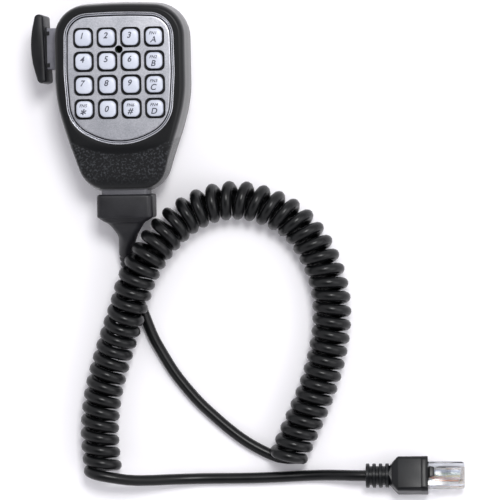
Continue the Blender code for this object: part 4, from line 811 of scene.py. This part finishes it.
def make_key(name, x, y):
    """Key: a black pillar and skirt in one shell, and the white cap, whose edge rolls into a shallow crown."""
    half, skirt = KEY_CAP / 2, KEY_SIZE / 2
    pillar, collar = half - 0.15 * MM, half + 0.1 * MM
    body = ((pillar, PILLAR_Z), (pillar, SKIRT_BOTTOM_Z), (skirt, SKIRT_BOTTOM_Z), (skirt, SKIRT_TOP_Z),
            (collar, SKIRT_TOP_Z), (collar, SKIRT_TOP_Z + 0.9 * MM))
    base = [at_height(rectangle(h, h, KEY_CORNER, (x, y)), z) for h, z in body]
    rings = []
    for inset, down in CAP_EDGE:
        ring = rectangle(half - inset * MM, half - inset * MM, KEY_CORNER, (x, y))
        rings.append(at_height(ring, CAP_TOP_Z - down * MM - 0.15 * MM))
    for share in (0.8, 0.55, 0.3, 0.05):
        ring = rectangle((half - 0.6 * MM) * share, (half - 0.6 * MM) * share, KEY_CORNER * share, (x, y))
        rings.append(at_height(ring, crown(ring[:, 0] - x, ring[:, 1] - y)))
    cap = skin(f"keycap_{name}", [rings], KEY_WHITE, sharp=50)
    foot = skin(f"keyfoot_{name}", [base], KEY_BLACK)
    fit(cap, f"key_{name}", "key_rubber", f"key_{name}")
    fit(foot, f"key_{name}", "key_rubber")


def make_legend(name, words, size, x, y, dx, dy):
    """Slanted lettering: a thin print on the crown of the cap at (x, y), with its middle at (dx, dy)."""
    data = bpy.data.curves.new(name, "FONT")
    data.body = words
    data.size = size
    data.shear = 0.25
    data.extrude = 0.03 * MM
    data.align_x, data.align_y = "CENTER", "CENTER"
    data.space_character = 1.05
    data.offset = 0.018 * size
    text = stand(name, data)
    mesh = frozen(text)
    bpy.data.objects.remove(text)
    flat = np.empty(len(mesh.vertices) * 3, np.float32)
    mesh.vertices.foreach_get("co", flat)
    flat = flat.reshape(-1, 3)
    flat[:, 0] -= (flat[:, 0].min() + flat[:, 0].max()) / 2 - dx
    flat[:, 1] -= (flat[:, 1].min() + flat[:, 1].max()) / 2 - dy
    flat[:, 2] += crown(flat[:, 0], flat[:, 1]) + 0.01 * MM
    flat[:, :2] += (x, y)
    mesh.vertices.foreach_set("co", flat.ravel())
    return put(name, mesh, LEGEND_INK)


def make_legends():
    """A digit or letter on every key, and a small function number above each letter, star and hash."""
    small = {"a": "FN1", "b": "FN2", "c": "FN3", "d": "FN4", "star": "FN5", "hash": "FN6"}
    signs = {"star": "*", "hash": "#"}
    for name, x, y in key_places():
        main = signs.get(name, name.upper())
        high = 0.9 * MM if name not in small and name != "0" else 0.0
        low = -1.25 * MM if name in small else high
        size = 5.6 * MM if name == "star" else 3.7 * MM
        fit(make_legend(f"legend_{name}", main, size, x, y, LEGEND_SHIFT, low), f"key_{name}", "key_rubber")
        if name in small:
            upper = make_legend(f"legend_upper_{name}", small[name], 1.9 * MM, x, y, LEGEND_SHIFT, 1.55 * MM)
            fit(upper, f"key_{name}", "key_rubber")


make_panel()
make_trim()
for key_name, key_x, key_y in key_places():
    make_key(key_name, key_x, key_y)
make_legends()

# ---------------------------------------------------------------- push-to-talk bar


def make_ptt():
    """Bowed bar with rolled edges, its grey stem with a flange, two black clips, and a black lip that is
    painted shade for the dark gap line where bar and stem meet.

    The bar's outline is turned by PTT_LEAN about its near edge's middle, and edge is (inset, depth) in mm."""
    far = PTT_NEAR_X - PTT_THICK + PTT_BOW
    end = PTT_LENGTH / 2
    low, high = PTT_CENTRE_Y - end, PTT_CENTRE_Y + end
    corners = ((PTT_NEAR_X, low + 1 * MM, 1.2 * MM), (PTT_NEAR_X, high - 1 * MM, 1.2 * MM),
               (far, high, 2.0 * MM), (PTT_NEAR_X - PTT_THICK - 0.5 * MM, PTT_CENTRE_Y, 42 * MM),
               (far, low, 2.0 * MM))
    turn = np.array(((math.cos(PTT_LEAN), -math.sin(PTT_LEAN)), (math.sin(PTT_LEAN), math.cos(PTT_LEAN))))
    middle = np.array((PTT_NEAR_X, PTT_CENTRE_Y))
    corners = [(*(middle + turn @ (np.array((x, y)) - middle)), radius) for x, y, radius in corners]
    half = PTT_HEIGHT / 2
    edge = smooth_line(np.array(((1.0, 0.0), (0.42, 0.25), (0.12, 0.8), (0.0, 2.0))) * MM, 0.3 * MM)
    levels = [(inset, down - half) for inset, down in edge]
    levels += [(inset, half - down) for inset, down in edge[::-1]]
    rings = [at_height(rounded_outline(corners, inset, 10, 6), SPLIT_Z + z) for inset, z in levels]
    bar = skin("ptt_bar", [rings], PTT_BLACK, sharp=45)
    fit(bar, "ptt", "black_rubber", "ptt_button")
    stem = rectangle(PTT_STEM_LENGTH / 2, PTT_STEM_HEIGHT / 2, 0.8 * MM, (PTT_CENTRE_Y, SPLIT_Z))
    grip = rectangle(PTT_STEM_LENGTH / 2 + 0.9 * MM, PTT_STEM_HEIGHT / 2 + 0.9 * MM, 0.8 * MM,
                     (PTT_CENTRE_Y, SPLIT_Z - 0.4 * MM))
    stations = ((stem, PTT_NEAR_X - 1 * MM), (stem, PTT_FLANGE_X), (grip, PTT_FLANGE_X), (grip, -24.0 * MM))
    plate = [at_x(outline, x) for outline, x in stations]
    fit(skin("ptt_stem", [plate], ACETAL_GREY, sharp=40), "ptt", "white_nylon")
    top = SPLIT_Z + PTT_STEM_HEIGHT / 2
    # The black lip is painted shade: a thin dark strip that stands in for the shadowed gap between the bar and
    # the stem.
    lip = rectangle(0.3 * MM, PTT_STEM_LENGTH / 2 + 0.4 * MM, 0.25 * MM,
                    (PTT_NEAR_X + 0.2 * MM, PTT_CENTRE_Y))
    shells = [[at_height(lip, z) for z in (SPLIT_Z, top + 0.35 * MM)]]
    for off_middle in PTT_CLIPS:
        clip = rectangle(0.8 * MM, 0.9 * MM, 0.3 * MM, (PTT_NEAR_X + 0.9 * MM, PTT_CENTRE_Y + off_middle))
        shells.append([at_height(clip, z) for z in (SPLIT_Z, top + 0.5 * MM)])
    fit(skin("ptt_clips_and_shade_lip", shells, PTT_BLACK, sharp=40), "ptt", "black_rubber")


make_ptt()

# ---------------------------------------------------------------- bush and boot


def make_bush():
    """Moulded bush: a block with rolled edges that necks down along the tail's route and ends in three rings.

    Away from the block its half width and height fall off as exp(-distance / 4 mm), and the grooves are where
    the cosine of the distance from the end is below nought. edge is (inset, depth) in mm."""
    block_end = BUSH_BLOCK_Y - BUSH_BLOCK_LENGTH
    wide, high = BUSH_BLOCK
    edge = smooth_line(np.array(((0.0, 1.5), (0.12, 0.75), (0.5, 0.25), (1.3, 0.0))) * MM, 0.25 * MM)
    front = [(BUSH_BLOCK_Y - down, wide - inset, high - inset) for inset, down in edge[::-1]]
    back = [(block_end + 0.9 * down, wide - 0.5 * inset, high - 0.6 * inset) for inset, down in edge]
    rings = []
    for y, half_x, half_z in front + back:
        rings.append(at_y(rectangle(half_x, half_z, 2.6 * MM, (0.0, BUSH_Z), arc=8, side=4), y))
    path = smooth_line(np.array(TAIL_ROUTE) * MM, 0.45 * MM)
    away = np.linspace(0, 1, len(path)) * np.linalg.norm(np.diff(path, axis=0), axis=1).sum() / MM
    thinning = np.exp(-away / 4.0)
    tail_x = BUSH_TAIL_RADIUS + (wide - BUSH_TAIL_RADIUS - 0.7 * MM) * thinning * (1 - 0.12 * thinning)
    tail_z = BUSH_TAIL_RADIUS + (high - BUSH_TAIL_RADIUS - 0.9 * MM) * thinning
    from_end = away[-1] - away
    groove = (from_end < 8.6) & (np.cos(from_end * 2 * math.pi / BUSH_RIB_PITCH_MM) < 0)
    half_sizes = np.column_stack([tail_x, tail_z]) - 0.5 * MM * groove[:, None]
    outlines = [rectangle(x, z, BUSH_TAIL_RADIUS, arc=8, side=4) for x, z in half_sizes]
    rings += list(carried(path, outlines)[1:])
    fit(skin("cord_bush", [rings], BUSH_PVC, sharp=45), "case", "bush_rubber", "strain_relief")
    middle = (0.0, BUSH_Z)
    collar = rectangle(BUSH_COLLAR[0], BUSH_COLLAR[1], 1.8 * MM, middle, arc=6, side=4)
    flange = rectangle(BUSH_FLANGE_HALF_WIDTH, BUSH_COLLAR[1] + 0.4 * MM, 1.8 * MM, middle, arc=6, side=4)
    flange_end = BUSH_INNER_Y - BUSH_FLANGE_THICK
    stations = ((flange, BUSH_INNER_Y), (flange, flange_end), (collar, flange_end),
                (collar, BUSH_BLOCK_Y - 1 * MM))
    neck = [at_y(outline, y) for outline, y in stations]
    # The collar's lighter grey is a painted highlight for the strip under the case's rim.
    fit(skin("bush_collar", [neck], COLLAR_PVC_PAINTED_HIGHLIGHT), "case", "bush_rubber")


def in_plug(u, outline, centre=0.0):
    """Ring at distance u along the plug's axis: the outline's numbers run across and through its thickness.

    The ring is turned by BOOT_ROLL: y = v cos - w sin and z = v sin + w cos."""
    cos, sin = math.cos(BOOT_ROLL), math.sin(BOOT_ROLL)
    v, w = outline[:, 0], outline[:, 1] + centre
    return BOOT_REAR + np.column_stack([np.broadcast_to(u, len(v)), v * cos - w * sin, v * sin + w * cos])


def plug_rings(sections, **steps):
    """Rings of round-cornered rectangles given as (u, half width, half thickness, radius, centre)."""
    return [in_plug(u, rectangle(v, w, radius, **steps), centre) for u, v, w, radius, centre in sections]


def make_boot():
    """Rubber boot: four thin ribs on the tail, a chamfered rear, a body with a lip, and a latch guard.

    Rows of rib are (along, radius), and of body (along, off the half width, off the half thickness), in mm."""
    rib = np.array(((0.0, 4.3), (0.0, 5.2), (0.25, 5.5), (1.35, 5.5), (1.6, 5.2), (1.6, 4.3))) * MM
    pitch = BOOT_TAIL_LENGTH / 4
    sections = [(start * pitch + u, r, r, r, 0.0) for start in range(4) for u, r in rib]
    end = BOOT_TAIL_LENGTH + BOOT_BODY_LENGTH
    wide, thick = BOOT_WIDTH / 2 + BOOT_FLARE, BOOT_THICK / 2
    body = np.array(((0.0, 3.2, 1.9), (0.25, 2.8, 1.4), (2.2, 0.75, 0.75), (2.6, 0.4, 0.6), (3.1, 0.2, 0.5),
                     (13.3, 0.2, 0.5), (13.4, 0.12, 0.35), (13.6, 0.05, 0.3), (16.1, 0.05, 0.3),
                     (16.4, 0.3, 0.5)))
    sections += [(BOOT_TAIL_LENGTH + u * MM, wide - a * MM, thick - b * MM,
                  (1.6 if b >= 0.5 else 2.2) * MM, 0.0) for u, a, b in body]
    boot = skin("plug_boot_rubber", [plug_rings(sections, arc=8, side=3)], BOOT_PVC, sharp=40)
    tip = PLUG_THICK / 2 + 0.9 * MM + LATCH_LENGTH * math.sin(LATCH_REST_ANGLE)
    above = tip + 1.05 * MM
    guard = ((end - 1.2 * MM, 2.6, 0.9, thick - 1.4 * MM), (end + 0.2 * MM, 2.6, 0.6, thick - 0.6 * MM),
             (end + 1 * MM, 2.6, 0.45, above), (end + 2.4 * MM, 2.2, 0.45, above),
             (end + 2.9 * MM, 1.9, 0.3, above))
    tab = plug_rings([(u, v * MM, w * MM, 0.4 * MM, c) for u, v, w, c in guard])
    socket = [(PLUG_START - GAP, PLUG_WIDTH / 2 + GAP, PLUG_THICK / 2 + GAP, 0.8 * MM, 0.0),
              (end + 2 * MM, PLUG_WIDTH / 2 + GAP, PLUG_THICK / 2 + GAP, 0.8 * MM, 0.0)]
    cut(boot, skin("socket", [plug_rings(socket)], BOOT_PVC), sharp=40)
    fit(boot, "case", "black_rubber", "plug_boot")
    tab_piece = fit(skin("latch_guard", [tab], BOOT_PVC), "case", "black_rubber")
    return boot, tab_piece


def make_plug():
    """Eight-way modular plug: a clear body with eased edges and blade slots, and coloured wires inside."""
    end = PLUG_START + PLUG_LENGTH
    v, w = PLUG_WIDTH / 2, PLUG_THICK / 2
    sections = ((PLUG_START, 0.15), (PLUG_START + 0.15 * MM, 0.0), (end - 1.1 * MM, 0.0),
                (end - 0.3 * MM, 0.35), (end, 0.6))
    eased = [(u, v - inset * MM, w - inset * MM, 0.6 * MM, 0.0) for u, inset in sections]
    body = skin("plug_shell", [plug_rings(eased)], CLEAR)
    slots = []
    for index in range(8):
        across = (index - 3.5) * WIRE_PITCH
        outline = rectangle(BLADE_SLOT, 1.35 * MM, 0.1 * MM, (across, -w + 0.9 * MM), arc=2)
        slots.append([in_plug(u, outline) for u in (end - 6.8 * MM, end + 1 * MM)])
    cut(body, skin("slots", slots, CLEAR))
    fit(body, "case", "clear_plastic", "plug_body")
    wires = (("white", "EDEBE6"), ("orange", "E0A585"), ("pink", "E6BDB6"), ("yellow", "DDCD98"),
             ("green", "A3B59C"), ("blue", "A4AEC2"), ("brown", "B59C88"), ("black", "3A3A3C"))
    made = []
    for index, (name, colour) in enumerate(wires):
        across = (index - 3.5) * WIRE_PITCH
        marks = np.array(((PLUG_START + 0.5 * MM, across * 0.45, 0.3 * MM),
                          (PLUG_START + 6 * MM, across * 0.5, 0.2 * MM),
                          (PLUG_START + 9 * MM, across * 0.95, -0.4 * MM), (end - 3 * MM, across, -0.9 * MM)))
        line = smooth_line(marks, 0.8 * MM)
        rings = [in_plug(u, circle(0.42 * MM, (a, c), 12)) for u, a, c in line]
        # Extruded PVC, even in tone and fairly glossy.
        finish = moulded(f"wire_pvc_{name}", colour, colour, 0.5 * MM, 0.005 * MM, (0.35, 0.5))
        made.append(fit(skin(f"wire_{name}", [rings], finish), "case", "cord_jacket"))
    jacket_line = (PLUG_START + 0.3 * MM, PLUG_START + 5.2 * MM)
    jacket = [in_plug(u, rectangle(2.4 * MM, 1.3 * MM, 1.3 * MM)) for u in jacket_line]
    made.append(fit(skin("jacket_end", [jacket], CORD_PVC), "case", "cord_jacket"))
    return body, made


def make_latch():
    """Sprung latch: a wide tongue that steps down to a narrow tip, leaning up from its root near the nose.

    half and thick are its half width and half thickness at each distance along it."""
    root = PLUG_START + PLUG_LENGTH - 1.2 * MM
    along = np.array((0.0, 0.3, 6.8, 7.2, 7.5, 7.9, 12.9, 13.2)) * MM
    half = np.array((3.0, 3.1, 3.1, 3.0, 1.8, 1.7, 1.7, 1.5)) * MM
    thick = np.array((0.35, 0.45, 0.45, 0.45, 0.45, 0.45, 0.45, 0.3)) * MM
    rise = PLUG_THICK / 2 + GAP + 0.45 * MM + along * math.sin(LATCH_REST_ANGLE)
    places = root - along * math.cos(LATCH_REST_ANGLE)
    rings = [in_plug(u, rectangle(h, t, 0.25 * MM), c) for u, h, t, c in zip(places, half, thick, rise)]
    return fit(skin("latch_tongue", [rings], CLEAR), "latch", "clear_plastic", "plug_latch")


make_bush()
BOOT, GUARD = make_boot()
PLUG, PLUG_PARTS = make_plug()
LATCH = make_latch()

# ---------------------------------------------------------------- spring and the CAD's own inner parts


def make_spring():
    """Compression spring: a round wire carried along a helix, with half a turn closed at each end.

    A point is (x, radius cos a, radius sin a) about the spring's axis, and x grows evenly in between."""
    low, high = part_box("ptt_spring")
    wire = SPRING_WIRE_RADIUS
    radius = (high.y - low.y) / 2 - wire
    angle = np.linspace(0, 2 * math.pi * SPRING_TURNS, SPRING_TURNS * 24 + 1)
    share = np.clip((angle / (2 * math.pi) - 0.5) / (SPRING_TURNS - 1), 0, 1)
    x = low.x + wire + (high.x - low.x - 2 * wire) * share
    centre_y, centre_z = (low.y + high.y) / 2, (low.z + high.z) / 2
    path = np.column_stack([x, centre_y + radius * np.cos(angle), centre_z + radius * np.sin(angle)])
    along = unit(np.gradient(path, axis=0))
    out = unit(path - np.column_stack([x, np.full(len(x), centre_y), np.full(len(x), centre_z)]))
    other = np.cross(along, out)
    ring = circle(wire, steps=12)
    rings = path[:, None] + out[:, None] * ring[None, :, :1] + other[:, None] * ring[None, :, 1:]
    spring = skin("return_spring", [rings], NICKEL, sharp=60)
    fit(spring, "case", "plated_steel", "ptt_spring")
    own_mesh(spring)


def make_felt():
    """Felt disc on the microphone capsule's face, under the sound hole."""
    low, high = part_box("mic_capsule")
    radius = 0.86 * (high.x - low.x) / 2
    centre = ((low.x + high.x) / 2, (low.y + high.y) / 2)
    rings = [at_height(circle(radius, centre), z) for z in (high.z + 0.01 * MM, high.z + 0.12 * MM)]
    fit(skin("capsule_felt", [rings], FELT), "case", "black_rubber")


make_spring()
make_felt()

CONTACTS = [f"contact_{i}" for i in range(1, 9)]
INNER = {"key_mat": KEY_BLACK, "circuit_board": LAMINATE, "encoder_chip": EPOXY, "cord_socket": NYLON,
         "inner_plug": NYLON, "inner_lead": CORD_PVC, "mic_capsule": NICKEL, "mic_sleeve": KEY_BLACK,
         "switch_body": EPOXY, "switch_lever": NICKEL, "switch_plunger": NYLON, "hang_up_screw": NICKEL}
INNER.update({f"{kind}_screw_{i}": NICKEL for kind in ("case", "board") for i in range(1, 5)})
INNER.update({name: GOLD for name in CONTACTS})
for node_name, node_finish in INNER.items():
    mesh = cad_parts[node_name].data
    mesh.materials.clear()
    mesh.materials.append(node_finish)
